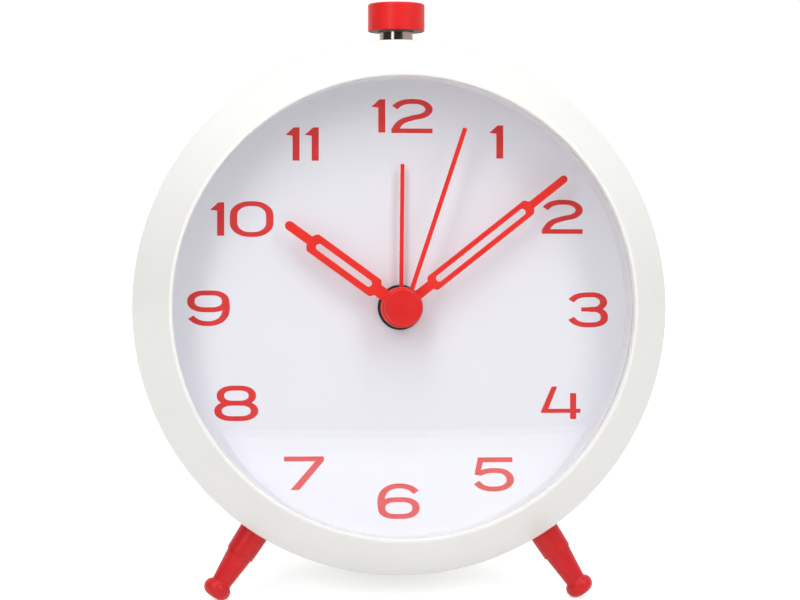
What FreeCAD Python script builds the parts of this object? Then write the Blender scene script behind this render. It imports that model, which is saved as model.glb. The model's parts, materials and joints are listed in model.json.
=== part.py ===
# Round desk alarm clock on two turned legs, with a quartz movement.
# The clock is drawn in its dial frame: X to the right as seen from the front, Y up the dial
# and Z out of the dial towards the viewer, with Z = 0 on the outer face of the back cover.
# At the end every sub-part is leaned back and stood on the floor.
import FreeCAD, Part
import math
import os
import Sketcher

os.makedirs("parts", exist_ok=True)
doc = FreeCAD.newDocument("DeskAlarmClock")

# Driving dimensions, in millimetres, degrees and numbers of teeth
DIMENSIONS = {
    # Stance
    "lean": 9,
    "drum_lift": 0.73,
    # Case shell with its conical bezel
    "case_radius": 52.5,
    "case_depth": 42,
    "case_wall": 0.8,
    "bezel_width": 7.7,
    "bezel_depth": 8.5,
    "lip_width": 1.1,
    "lip_drop": 2.6,
    "lip_round": 0.45,
    "shoulder_round": 0.5,
    # Clearances
    "slide_gap": 0.08,
    "fit_gap": 0.15,
    "press_gap": 0.02,
    "seat_gap": 0.25,
    # Front lens
    "lens_edge": 1.3,
    "lens_thickness": 1.5,
    "lens_rise": 2.5,
    "lens_rim": 0.4,
    # Dial ring and dial plate
    "dial_drop": 11,
    "dial_thickness": 1,
    "dial_overlap": 2.1,
    "ring_wall": 1.5,
    "post_radius": 3,
    "post_gap": 0.4,
    "boss_length": 3.6,
    "boss_radius": 2.5,
    # Back cover
    "cover_thickness": 2,
    "cover_inset": 0.2,
    "cover_chamfer": 0.8,
    "spigot_depth": 4,
    "spigot_wall": 1.5,
    # Battery door
    "door_length": 54,
    "door_width": 18,
    "door_thickness": 1.1,
    "door_gap": 0.3,
    "ledge_width": 1.8,
    "door_pin_radius": 0.4,
    "door_pin_reach": 1,
    "rib_height": 0.4,
    # Legs
    "leg_angle": 33,
    "leg_depth": 13,
    "collar_radius": 3.05,
    "collar_end_radius": 2.9,
    "collar_length": 5.3,
    "taper_radius": 2.525,
    "neck_radius": 1.95,
    "foot_ring_radius": 0.9,
    "foot_round": 1.75,
    "leg_thread_depth": 7.5,
    # Rear rest
    "rest_setback": 5.1,
    "rest_width": 12,
    "rest_depth": 5,
    "rest_stem_sink": 0.4,
    "rest_stem_radius": 1.9,
    "rest_head_radius": 2.75,
    "rest_head_height": 1.3,
    "rest_block_height": 13,
    # Snooze button
    "button_setback": 22.5,
    "cap_radius": 5.65,
    "cap_height": 5.5,
    "cap_lift": 2.5,
    "cap_top": 1.2,
    "cap_round": 0.4,
    "ferrule_radius": 3.33,
    "ferrule_thread_radius": 2.5,
    "ferrule_rise": 3.7,
    "ferrule_drop": 5.6,
    "nut_radius": 4,
    "nut_height": 2,
    "plunger_radius": 1.5,
    "plunger_boss_radius": 2.1,
    "plunger_boss_height": 1.1,
    "groove_depth": 0.4,
    "clip_radius": 2.4,
    "clip_thickness": 0.45,
    "spring_radius": 2.75,
    "spring_wire_radius": 0.25,
    "spring_turns": 2.5,
    # Snooze switch
    "switch_side": 7,
    "switch_height": 3.5,
    "switch_floor": 0.2,
    "actuator_radius": 1.6,
    "actuator_sink": 1.4,
    "actuator_rise": 1.45,
    # Screws
    "screw_radius": 1.4,
    "screw_head_radius": 2.7,
    "screw_head_height": 1.6,
    "cover_screw_length": 14,
    "small_screw_radius": 0.95,
    "small_head_radius": 2.1,
    "small_head_height": 1.3,
    "slot_width": 0.6,
    "slot_depth": 0.7,
    # Movement box
    "box_width": 56,
    "box_top": 27,
    "box_bottom": 31,
    "box_wall": 1.5,
    "box_back": 23.9,
    "front_plate": 2,
    "bay_top": 14.2,
    "bay_wall": 1.8,
    "bay_depth": 8,
    "train_plate": 1.2,
    "plate_lap": 0.7,
    "pillar_radius": 2.75,
    "pillar_x": 24,
    "pillar_top": 23,
    "pillar_bottom": 9.6,
    "ear_side": 7,
    "ear_thickness": 2,
    "ear_y": 16,
    "sleeve_radius": 4.25,
    "sleeve_rise": 1,
    # Wheels
    "wheel_thickness": 0.9,
    "layer_gap": 0.5,
    "train_layers": 7,
    "pinion_overlap": 0.1,
    "train_module": 0.4,
    "rotor_module": 0.35,
    "pinion_teeth": 8,
    "intermediate_teeth": 48,
    "seconds_teeth": 40,
    "third_teeth": 60,
    "centre_teeth": 64,
    "cannon_teeth": 12,
    "reverser_teeth": 36,
    "reverser_pinion_teeth": 10,
    "hour_teeth": 40,
    "alarm_teeth": 40,
    "alarm_setting_teeth": 32,
    "third_angle": 55,
    "intermediate_angle": 140,
    "rotor_angle": 100,
    "reverser_angle": 200,
    "time_angle": 150,
    "alarm_angle": -20,
    "hub_radius": 1.3,
    "wheel_hub_radius": 1,
    "post_pin_radius": 0.5,
    "pivot_radius": 0.6,
    "setting_radius": 1,
    "seconds_radius": 0.4,
    "seconds_hub_radius": 0.7,
    "third_radius": 0.5,
    "minute_tube_radius": 0.95,
    "hour_tube_radius": 1.6,
    "alarm_tube_radius": 2.2,
    "tube_gap": 0.1,
    # Step motor
    "magnet_radius": 2.2,
    "stator_gap": 0.4,
    "stator_left": 11,
    "stator_length": 26,
    "stator_width": 6.7,
    "stator_thickness": 0.9,
    "stator_reach": 11.6,
    "lug_length": 3,
    "core_width": 3,
    "bobbin_length": 17,
    "bobbin_radius": 1.9,
    "flange_radius": 2.45,
    "flange_thickness": 0.8,
    "winding_radius": 2.3,
    # Hands
    "stack_start": 1.25,
    "hub_height": 1.25,
    "hub_gap": 0.25,
    "hand_hub_radius": 4,
    "hand_thickness": 0.45,
    "second_cap_radius": 3.65,
    "second_cap_height": 2.25,
    "cap_edge": 0.5,
    "hour_at": -54.04,
    "minute_at": 51.67,
    "second_at": 19.2,
    "alarm_at": 0.6,
    "hour_length": 28,
    "hour_shank": 2.44,
    "hour_frame_start": 6.6,
    "hour_frame_end": 21.5,
    "hour_frame_width": 4,
    "hour_slot_width": 1.33,
    "hour_tip_width": 1.81,
    "minute_length": 41,
    "minute_shank": 1.89,
    "minute_frame_start": 7.8,
    "minute_frame_end": 31.4,
    "minute_frame_width": 3.35,
    "minute_slot_width": 1.31,
    "minute_tip_width": 1.54,
    "frame_border": 1.1,
    "frame_chamfer": 0.8,
    "second_length": 37,
    "second_width": 0.88,
    "alarm_length": 28.1,
    "alarm_width": 0.78,
    # Knobs
    "time_knob_radius": 7,
    "alarm_knob_radius": 6,
    "knob_height": 5,
    "knob_gap": 0.5,
    "knob_grooves": 24,
    "groove_radius": 0.35,
    "knob_sink": 4,
    # Electronics
    "board_width": 40,
    "board_bottom": 5,
    "board_top": 18.6,
    "board_thickness": 1.2,
    "part_row": 11.8,
    "chip_side": 8,
    "chip_height": 1.2,
    "chip_dome_radius": 2.7,
    "crystal_radius": 1,
    "crystal_length": 6,
    "crystal_wire_radius": 0.17,
    "crystal_wire_length": 2,
    "buzzer_x": 11,
    "buzzer_radius": 6,
    "buzzer_height": 5,
    "sound_hole_radius": 1,
    "sound_slots": 5,
    "sound_slot_length": 12,
    "sound_slot_width": 1.4,
    "sound_slot_pitch": 2.8,
    # Cell and its contacts
    "cell_radius": 7.1,
    "cell_length": 49.3,
    "nub_radius": 2.65,
    "nub_length": 1,
    "contact_thickness": 0.4,
    "contact_side": 10,
    "contact_coil_radius": 4.24,
    # Alarm switch
    "alarm_switch_y": 34,
    "alarm_switch_length": 12,
    "alarm_switch_width": 6,
    "alarm_switch_height": 5,
    "slider_side": 2.4,
    "slider_travel": 3,
    "slider_track_depth": 3,
    "slider_tab_length": 4,
    "slider_tab_width": 5,
    "slider_tab_height": 1.8,
}

sheet = doc.addObject("Spreadsheet::Sheet", "Sizes")
for row, (word, number) in enumerate(DIMENSIONS.items(), start=1):
    sheet.set("A%d" % row, word)
    sheet.set("B%d" % row, str(number))
    sheet.setAlias("B%d" % row, word)
doc.recompute()


class Size:
    """A size kept both as a formula over the sheet and as its value."""

    def __init__(self, text, value):
        self.text = text
        self.value = value

    def __add__(self, other):
        other = as_size(other)
        return Size("(%s + %s)" % (self.text, other.text), self.value + other.value)

    def __sub__(self, other):
        other = as_size(other)
        return Size("(%s - %s)" % (self.text, other.text), self.value - other.value)

    def __mul__(self, other):
        other = as_size(other)
        return Size("(%s * %s)" % (self.text, other.text), self.value * other.value)

    def __truediv__(self, other):
        other = as_size(other)
        return Size("(%s / %s)" % (self.text, other.text), self.value / other.value)

    def __radd__(self, other):
        return as_size(other) + self

    def __rsub__(self, other):
        return as_size(other) - self

    def __rmul__(self, other):
        return as_size(other) * self

    def __neg__(self):
        return Size("(0 - %s)" % self.text, -self.value)

    def __float__(self):
        return float(self.value)


def as_size(thing):
    if isinstance(thing, Size):
        return thing
    return Size("(%r)" % float(thing), float(thing))


def root(size):
    return Size("sqrt(%s)" % size.text, math.sqrt(size.value))


def cosine(degrees):
    return Size("cos(%s)" % degrees.text, math.cos(math.radians(degrees.value)))


def sine(degrees):
    return Size("sin(%s)" % degrees.text, math.sin(math.radians(degrees.value)))


def chord_seat(radius, half_width):
    """Distance from a round wall's axis to a flat of this half width laid against it."""
    return root(radius * radius - half_width * half_width)


class Sheet:
    """Gives each cell of the sheet by its alias."""

    def __getattr__(self, word):
        return Size("Sizes." + word, float(sheet.get(word)))


d = Sheet()


def bind(thing, name, size):
    thing.setExpression(name, as_size(size).text)


def vector(x, y, z):
    return FreeCAD.Vector(float(x), float(y), float(z))


def turn(axis, degrees):
    return FreeCAD.Rotation(FreeCAD.Vector(*axis), float(degrees))


ALONG_Z = turn((0, 0, 1), 0)
ALONG_Y = turn((1, 0, 0), -90)
ALONG_X = turn((0, 1, 0), 90)


def locate(solid, x, y, z, direction):
    solid.Placement = FreeCAD.Placement(vector(x, y, z), direction)
    bind(solid, "Placement.Base.x", x)
    bind(solid, "Placement.Base.y", y)
    bind(solid, "Placement.Base.z", z)
    return solid


def rod(name, radius, height, x=0, y=0, z=0, direction=ALONG_Z):
    solid = doc.addObject("Part::Cylinder", name)
    bind(solid, "Radius", radius)
    bind(solid, "Height", height)
    return locate(solid, x, y, z, direction)


def block(name, length, width, height, x=0, y=0, z=0):
    """A box centred on x and y, standing on z."""
    solid = doc.addObject("Part::Box", name)
    bind(solid, "Length", length)
    bind(solid, "Width", width)
    bind(solid, "Height", height)
    return locate(solid, x - as_size(length) / 2, y - as_size(width) / 2, z, ALONG_Z)


def fuse(name, *solids):
    joined = doc.addObject("Part::MultiFuse", name)
    joined.Shapes = list(solids)
    return joined


def cut(name, base, *tools):
    left = doc.addObject("Part::Cut", name)
    left.Base = base
    left.Tool = tools[0] if len(tools) == 1 else fuse(name + "_tools", *tools)
    return left


def group(name, *solids):
    together = doc.addObject("Part::Compound", name)
    together.Links = list(solids)
    return together


def new_body(name):
    return doc.addObject("PartDesign::Body", name)


def origin_plane(body, role):
    for feature in body.Origin.OriginFeatures:
        if feature.Role == role:
            return feature
    raise ValueError(role)


def arc_between(start, end, radius, side):
    """The arc of this radius from start to end, bulging to the given side of its chord."""
    chord = end - start
    middle = (start + end) * 0.5
    normal = FreeCAD.Vector(chord.y, -chord.x, 0).normalize() * side
    sag = radius - math.sqrt(max(radius * radius - chord.Length ** 2 / 4, 0))
    return Part.Arc(start, middle + normal * sag, end)


def outline(body, name, points, role="XZ_Plane", arcs=None, loops=()):
    """A sketch of closed outlines, each corner bound to the sheet.

    arcs gives, for the edge that leaves a corner of the first outline, its radius and side.
    """
    sketch = body.newObject("Sketcher::SketchObject", name)
    sketch.AttachmentSupport = [(origin_plane(body, role), "")]
    sketch.MapMode = "FlatFace"
    for loop in [points] + list(loops):
        corners = [(as_size(x), as_size(y)) for x, y in loop]
        spots = [vector(x, y, 0) for x, y in corners]
        first = sketch.GeometryCount
        count = len(spots)
        for index in range(count):
            start, end = spots[index], spots[(index + 1) % count]
            if arcs and loop is points and index in arcs:
                radius, side = arcs[index]
                arc = arc_between(start, end, float(radius), side)
                edge = sketch.addGeometry(arc, False)
                number = sketch.addConstraint(Sketcher.Constraint("Radius", edge, float(radius)))
                sketch.setExpression("Constraints[%d]" % number, radius.text)
            else:
                edge = sketch.addGeometry(Part.LineSegment(start, end), False)
        for index in range(count):
            edge = first + index
            start_end = edge_ends(sketch, edge, spots[index])
            before = first + (index - 1) % count
            before_end = 3 - edge_ends(sketch, before, spots[(index - 1) % count])
            sketch.addConstraint(Sketcher.Constraint("Coincident", before, before_end, edge, start_end))
            for kind, size in zip(("DistanceX", "DistanceY"), corners[index]):
                constraint = Sketcher.Constraint(kind, -1, 1, edge, start_end, float(size))
                number = sketch.addConstraint(constraint)
                sketch.setExpression("Constraints[%d]" % number, size.text)
    return sketch


def edge_ends(sketch, edge, spot):
    """1 where the edge's own first point lies on the spot, or else 2."""
    first = sketch.getPoint(edge, 1)
    last = sketch.getPoint(edge, 2)
    return 1 if first.distanceToPoint(spot) <= last.distanceToPoint(spot) else 2


def revolve(body, name, points, arcs=None):
    sketch = outline(body, name + "_profile", points, arcs=arcs)
    solid = body.newObject("PartDesign::Revolution", name)
    solid.Profile = sketch
    solid.ReferenceAxis = (sketch, ["V_Axis"])
    solid.Angle = 360
    return solid


def ring_edges(shape, rings):
    """Names of the circular edges with these radii and heights."""
    names = []
    for number, edge in enumerate(shape.Edges, start=1):
        curve = edge.Curve
        if not isinstance(curve, Part.Circle):
            continue
        for radius, height in rings:
            same_radius = abs(curve.Radius - float(radius)) < 1e-4
            if same_radius and abs(curve.Center.z - float(height)) < 1e-4:
                names.append("Edge%d" % number)
    return names


def round_rings(body, name, base, radius, rings):
    doc.recompute()
    rounding = body.newObject("PartDesign::Fillet", name)
    rounding.Base = (base, ring_edges(base.Shape, rings))
    bind(rounding, "Radius", radius)
    return rounding


def at_angle(distance, degrees, start=None):
    """The point this far from start, at this angle from the X axis."""
    spot = start if start else FreeCAD.Vector()
    angle = math.radians(float(degrees))
    return spot + FreeCAD.Vector(math.cos(angle), math.sin(angle), 0) * float(distance)


SUBPARTS = {}


def keep(thing, spot=None, spin=0.0):
    """Registers a finished sub-part, with the point of the dial frame that it is drawn around."""
    thing.Label = thing.Name
    own = FreeCAD.Placement(spot if spot else FreeCAD.Vector(), turn((0, 0, 1), spin))
    SUBPARTS[thing.Name] = (thing, own)
    return thing


# Levels and radii that several pieces share
inner_radius = d.case_radius - d.case_wall
lip_radius = d.case_radius - d.bezel_width
lip_outer = lip_radius + d.lip_width
lip_back = lip_radius + d.case_wall
cone_slope = (d.case_radius - lip_outer) / d.bezel_depth
half_slope = (root(cone_slope * cone_slope + 1) - 1) / cone_slope
shoulder_z = d.case_depth - d.bezel_depth
inner_shoulder_z = shoulder_z - d.case_wall * half_slope
inner_lip_z = inner_shoulder_z + (inner_radius - lip_back) / cone_slope
lens_front = d.case_depth - d.lip_drop
lens_back = lens_front - d.lens_edge
lens_radius = lip_back + (inner_lip_z - lens_front) * cone_slope - d.seat_gap
dial_face = d.case_depth - d.dial_drop
dial_back = dial_face - d.dial_thickness
dial_radius = lip_radius + d.dial_overlap
spigot_outer = inner_radius - d.fit_gap
spigot_inner = spigot_outer - d.spigot_wall
post_circle = spigot_inner - d.post_gap - d.post_radius
leg_z = d.case_depth - d.leg_depth
half_box = d.box_width / 2
half_inner = half_box - d.box_wall
box_middle = (d.box_top - d.box_bottom) / 2
box_height = d.box_top + d.box_bottom
upper_height = d.box_top - d.box_wall + d.bay_top - d.bay_wall
upper_middle = (d.box_top - d.box_wall - d.bay_top + d.bay_wall) / 2
bay_height = d.box_bottom - d.box_wall - d.bay_top
bay_middle = -(d.bay_top + bay_height / 2)
plate_inner = dial_back - d.front_plate
layer_pitch = d.wheel_thickness + d.layer_gap
stator_top = plate_inner - d.layer_gap - d.train_layers * layer_pitch
split_z = stator_top - d.stator_thickness
train_back = split_z - d.train_plate
board_back = train_back - d.board_thickness
movement_back = dial_back - d.box_back
bay_floor = dial_back - d.bay_depth
cell_z = movement_back + (bay_floor - movement_back) / 2

# Leg and post angles, from the X axis
POST_ANGLES = (45, 135, 200, 340)
DIAL_SCREW_ANGLES = (0, 90, 180, 270)

# Turn of the small screws' slots
SLOT_TURN = 35


def layer(number):
    """Lower face of a wheel layer, counted back from the movement's front plate."""
    return plate_inner - d.layer_gap - number * layer_pitch - d.wheel_thickness


def pinion_foot(number):
    return layer(number) - d.pinion_overlap


pinion_length = d.wheel_thickness + 2 * d.pinion_overlap

# Arbor centres, from the pitch radii of the wheels that mesh
train_distance = d.train_module * (d.pinion_teeth + d.third_teeth) / 2
centre_module = 2 * train_distance / (d.pinion_teeth + d.centre_teeth)
reverser_distance = d.train_module * (d.reverser_pinion_teeth + d.hour_teeth) / 2
cannon_module = 2 * reverser_distance / (d.cannon_teeth + d.reverser_teeth)
seconds_distance = d.train_module * (d.pinion_teeth + d.seconds_teeth) / 2
rotor_distance = d.rotor_module * (d.pinion_teeth + d.intermediate_teeth) / 2
alarm_distance = d.train_module * (d.alarm_teeth + d.alarm_setting_teeth) / 2
MAIN = FreeCAD.Vector()
THIRD = at_angle(train_distance, d.third_angle)
INTERMEDIATE = at_angle(seconds_distance, d.intermediate_angle)
ROTOR = at_angle(rotor_distance, d.rotor_angle, INTERMEDIATE)
REVERSER = at_angle(reverser_distance, d.reverser_angle)
TIME_SET = at_angle(reverser_distance, d.time_angle, REVERSER)
ALARM_SET = at_angle(alarm_distance, d.alarm_angle)

# How far the floor lies from the clock's axis, with the drum's rear edge lifted clear of it
lean = math.radians(float(d.lean))
floor_distance = d.case_radius * cosine(d.lean) - d.cover_thickness * sine(d.lean) + d.drum_lift
STAND = turn((1, 0, 0), 90 - float(d.lean))

# How far along a leg its round foot is centred, so that it stands on that floor
steepness = cosine(d.leg_angle) * cosine(d.lean)
foot_ring_s = (floor_distance + leg_z * sine(d.lean) - d.foot_round
               - d.foot_ring_radius * root(1 - steepness * steepness)) / steepness


def make_case_shell():
    """Drum with a conical bezel whose lip turns in behind the rim."""
    body = new_body("case_shell_sheet")
    turned = revolve(body, "shell_turned", [
        (d.case_radius, d.cover_thickness),
        (d.case_radius, shoulder_z),
        (lip_outer, d.case_depth),
        (lip_radius, d.case_depth),
        (lip_radius, lens_front),
        (lip_back, lens_front),
        (lip_back, inner_lip_z),
        (inner_radius, inner_shoulder_z),
        (inner_radius, d.cover_thickness),
    ])
    rounded = round_rings(body, "lip_rounding", turned, d.lip_round,
                          [(lip_outer, d.case_depth), (lip_radius, d.case_depth)])
    round_rings(body, "shoulder_rounding", rounded, d.shoulder_round,
                [(d.case_radius, shoulder_z)])
    reach = 2 * d.case_radius
    button_hole = rod("shell_button_hole", d.ferrule_thread_radius + d.fit_gap, reach,
                      0, 0, d.button_setback, ALONG_Y)
    rest_hole = rod("shell_rest_hole", d.rest_stem_radius + d.fit_gap, reach,
                    0, -reach, d.rest_setback, ALONG_Y)
    holes = [button_hole, rest_hole]
    for side in (-1, 1):
        hole = rod("shell_leg_hole", d.screw_radius + d.fit_gap, reach)
        hole.Placement = leg_placement(side)
        hole.setExpression("Placement.Base.x", None)
        hole.setExpression("Placement.Base.y", None)
        hole.setExpression("Placement.Base.z", None)
        holes.append(hole)
    keep(cut("case_shell", body, *holes))


def leg_placement(side):
    """Placement that turns the local Z axis outwards along one leg."""
    radial = turn((0, 0, 1), side * float(d.leg_angle)).multiply(turn((1, 0, 0), 90))
    return FreeCAD.Placement(vector(0, 0, leg_z), radial)


def make_front_lens():
    dome_radius = lip_radius - d.lens_rim
    inner_rise = d.lens_rise - d.lens_thickness + d.lens_edge
    outer_arc = (dome_radius * dome_radius + d.lens_rise * d.lens_rise) / (2 * d.lens_rise)
    inner_arc = (dome_radius * dome_radius + inner_rise * inner_rise) / (2 * inner_rise)
    crown = lens_front + d.lens_rise
    body = new_body("front_lens")
    revolve(body, "lens_turned", [
        (0, crown - d.lens_thickness),
        (0, crown),
        (dome_radius, lens_front),
        (lens_radius, lens_front),
        (lens_radius, lens_back),
        (dome_radius, lens_back),
    ], arcs={1: (outer_arc, -1), 5: (inner_arc, 1)})
    keep(body)


def make_dial_ring():
    """Ring between lens and dial, with the four posts that the back cover is screwed to."""
    flange_outer = inner_radius - d.seat_gap
    flange_top = inner_shoulder_z - d.seat_gap
    recess = dial_radius + d.fit_gap
    body = new_body("dial_ring_turned")
    revolve(body, "ring_turned", [
        (lip_radius, dial_face),
        (lip_radius, lens_back),
        (lip_radius + d.ring_wall, lens_back),
        (lip_radius + d.ring_wall, flange_top),
        (flange_outer, flange_top),
        (flange_outer, dial_back),
        (recess, dial_back),
        (recess, dial_face),
    ])
    posts = []
    pilots = []
    for angle in POST_ANGLES:
        spot = at_angle(post_circle, angle)
        post = rod("ring_post", d.post_radius, dial_back - d.cover_thickness,
                   spot.x, spot.y, d.cover_thickness)
        pilot = rod("ring_pilot", d.screw_radius + d.press_gap, d.cover_screw_length,
                    spot.x, spot.y, d.cover_thickness)
        posts.append(post)
        pilots.append(pilot)
    holes = []
    for angle in DIAL_SCREW_ANGLES:
        spot = at_angle(dial_screw_circle(), angle)
        holes.append(rod("ring_dial_hole", d.small_screw_radius + d.press_gap,
                         flange_top - dial_back, spot.x, spot.y, dial_back))
    for side in (-1, 1):
        notch = rod("ring_leg_notch", d.screw_head_radius + d.seat_gap + d.fit_gap, d.bezel_width)
        notch.setExpression("Placement.Base.x", None)
        notch.setExpression("Placement.Base.y", None)
        notch.setExpression("Placement.Base.z", None)
        start = FreeCAD.Placement(vector(0, 0, lip_radius + d.ring_wall), turn((0, 0, 1), 0))
        notch.Placement = leg_placement(side).multiply(start)
        holes.append(notch)
    keep(cut("dial_ring", fuse("ring_with_posts", body, *posts), *(pilots + holes)))


def dial_screw_circle():
    return float(dial_radius + d.fit_gap + d.small_screw_radius + d.case_wall)


def make_dial_plate():
    plate = rod("dial_disc", dial_radius, d.dial_thickness, 0, 0, dial_back)
    centre = rod("dial_centre_hole", d.sleeve_radius + d.fit_gap, d.dial_thickness, 0, 0, dial_back)
    bosses = []
    pilots = []
    for x, y in ear_spots():
        bosses.append(rod("dial_boss", d.boss_radius, d.boss_length, x, y,
                          dial_back - d.boss_length))
        pilots.append(rod("dial_boss_pilot", d.small_screw_radius + d.press_gap, d.boss_length,
                          x, y, dial_back - d.boss_length))
    keep(cut("dial_plate", fuse("dial_with_bosses", plate, *bosses), centre, *pilots))


def ear_spots():
    x = half_box + d.ear_side / 2
    return [(x, d.ear_y), (-x, d.ear_y), (x, -d.ear_y), (-x, -d.ear_y)]


def slotted_screw(name, radius, length, head_radius, head_height):
    """A screw drawn up the Z axis, its head below Z = 0."""
    shank = rod(name + "_shank", radius, length)
    head = rod(name + "_head", head_radius, head_height, 0, 0, -as_size(head_height))
    slot = block(name + "_slot", 2 * head_radius, d.slot_width, d.slot_depth,
                 0, 0, -as_size(head_height))
    return cut(name, fuse(name + "_blank", shank, head), slot)


def screw_set(name, placements, radius, length, head_radius, head_height):
    screws = []
    for placement in placements:
        screw = slotted_screw(name + "_one", radius, length, head_radius, head_height)
        screw.Placement = placement
        screws.append(screw)
    keep(group(name, *screws))


def make_screws():
    flat = turn((0, 0, 1), SLOT_TURN)
    posts = [FreeCAD.Placement(at_angle(post_circle, angle), flat) for angle in POST_ANGLES]
    screw_set("back_cover_screws", posts, d.screw_radius, d.cover_screw_length,
              d.screw_head_radius, d.screw_head_height)
    dial = [FreeCAD.Placement(at_angle(dial_screw_circle(), angle) + vector(0, 0, dial_back), flat)
            for angle in DIAL_SCREW_ANGLES]
    screw_set("dial_screws", dial, d.small_screw_radius, d.dial_thickness,
              d.small_head_radius, d.small_head_height)
    ear_back = dial_back - d.boss_length - d.ear_thickness
    ears = [FreeCAD.Placement(vector(x, y, ear_back), flat) for x, y in ear_spots()]
    screw_set("movement_fixing_screws", ears, d.small_screw_radius,
              d.ear_thickness + d.boss_length - d.fit_gap, d.small_head_radius, d.small_head_height)
    corners = [FreeCAD.Placement(vector(x, y, movement_back), flat) for x, y in pillar_spots()]
    screw_set("movement_screws", corners, d.small_screw_radius, split_z - movement_back + d.bay_depth / 2,
              d.small_head_radius, d.small_head_height)
    seat = chord_seat(inner_radius, d.screw_head_radius)
    legs = []
    for side in (-1, 1):
        start = FreeCAD.Placement(vector(0, 0, seat), turn((0, 0, 1), 0))
        legs.append(leg_placement(side).multiply(start))
    screw_set("leg_screws", legs, d.screw_radius, d.leg_thread_depth, d.screw_head_radius,
              d.screw_head_height)


def make_leg(name, side):
    """Turned leg: collar, taper, neck and round foot, with a saddle that fits the drum."""
    start = chord_seat(inner_radius, d.collar_radius)
    collar_end = d.case_radius + d.collar_length
    taper_end = foot_ring_s - chord_seat(d.foot_round, d.neck_radius - d.foot_ring_radius)
    foot_end = foot_ring_s + d.foot_round
    pilot = d.screw_radius + d.press_gap
    pilot_end = inner_radius + d.leg_thread_depth + d.fit_gap
    body = new_body(name + "_turned")
    revolve(body, name + "_profile_turned", [
        (pilot, start),
        (d.collar_radius, start),
        (d.collar_end_radius, collar_end),
        (d.taper_radius, collar_end),
        (d.neck_radius, taper_end),
        (d.foot_ring_radius, foot_end),
        (0, foot_end),
        (0, pilot_end),
        (pilot, pilot_end),
    ], arcs={4: (d.foot_round, 1)})
    drum = rod(name + "_saddle", d.case_radius, 4 * d.collar_radius,
               0, -2 * d.collar_radius, 0, ALONG_Y)
    leg = cut(name, body, drum)
    keep(leg)
    SUBPARTS[name] = (leg, leg_placement(side))


def rest_face():
    """Middle of the rear rest's face, on the floor plane that the round feet touch."""
    floor_y = -float(floor_distance + d.rest_setback * sine(d.lean)) / math.cos(lean)
    return vector(0, floor_y, d.rest_setback)


def make_rear_rest():
    """Rubber rest under the back of the drum, its foot face level with the floor."""
    bar_length = d.rest_width - d.rest_depth
    bar = block("rest_bar", bar_length, d.rest_depth, d.rest_block_height)
    ends = [rod("rest_end", d.rest_depth / 2, d.rest_block_height, side * bar_length / 2)
            for side in (-1, 1)]
    foot = fuse("rest_foot", bar, *ends)
    foot.Placement = FreeCAD.Placement(rest_face(), STAND.inverted())
    drum = rod("rest_saddle", d.case_radius, d.case_depth, 0, 0, -d.rest_depth)
    seat = chord_seat(inner_radius, d.rest_head_radius)
    stem = rod("rest_stem", d.rest_stem_radius, d.case_radius + d.rest_stem_sink - seat,
               0, -(d.case_radius + d.rest_stem_sink), d.rest_setback, ALONG_Y)
    head = rod("rest_head", d.rest_head_radius, d.rest_head_height,
               0, -seat, d.rest_setback, ALONG_Y)
    keep(fuse("rear_rest", cut("rest_block", foot, drum), stem, head))


def make_back_cover():
    plate_radius = d.case_radius - d.cover_inset
    body = new_body("back_cover_turned")
    revolve(body, "cover_turned", [
        (0, 0),
        (plate_radius - d.cover_chamfer, 0),
        (plate_radius, d.cover_chamfer),
        (plate_radius, d.cover_thickness),
        (spigot_outer, d.cover_thickness),
        (spigot_outer, d.cover_thickness + d.spigot_depth),
        (spigot_inner, d.cover_thickness + d.spigot_depth),
        (spigot_inner, d.cover_thickness),
        (0, d.cover_thickness),
    ])
    tools = []
    for angle in POST_ANGLES:
        spot = at_angle(post_circle, angle)
        tools.append(rod("cover_screw_hole", d.screw_radius + d.fit_gap, d.cover_thickness,
                         spot.x, spot.y, 0))
    for spot in (TIME_SET, ALARM_SET):
        tools.append(rod("cover_arbor_hole", d.setting_radius + d.fit_gap, d.cover_thickness,
                         spot.x, spot.y, 0))
    tools.append(block("door_recess", d.door_length + 2 * d.door_gap,
                       d.door_width + 2 * d.door_gap, d.door_thickness + d.fit_gap,
                       0, bay_middle, 0))
    tools.append(block("door_window", d.door_length - 2 * d.ledge_width,
                       d.door_width - 2 * d.ledge_width, d.cover_thickness, 0, bay_middle, 0))
    pin_span = d.door_length + 2 * d.door_pin_reach + 2 * d.door_gap
    tools.append(rod("door_pin_holes", d.door_pin_radius + d.slide_gap, pin_span,
                     -pin_span / 2, door_hinge_y(), d.door_thickness / 2, ALONG_X))
    tools.append(block("switch_slot", d.slider_side + d.slider_travel + 2 * d.fit_gap,
                       d.slider_side + 2 * d.fit_gap, d.cover_thickness,
                       0, d.alarm_switch_y, 0))
    for number in range(int(float(d.sound_slots))):
        y = d.part_row + (number - (d.sound_slots - 1) / 2) * d.sound_slot_pitch
        tools.append(block("sound_slot", d.sound_slot_length, d.sound_slot_width,
                           d.cover_thickness, d.buzzer_x, y, 0))
    tools.append(rod("spigot_notch", d.rest_head_radius + d.seat_gap, d.case_radius,
                     0, -d.case_radius, d.rest_setback, ALONG_Y))
    keep(cut("back_cover", body, *tools))


def door_hinge_y():
    return bay_middle - d.door_width / 2 + d.door_thickness / 2


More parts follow.
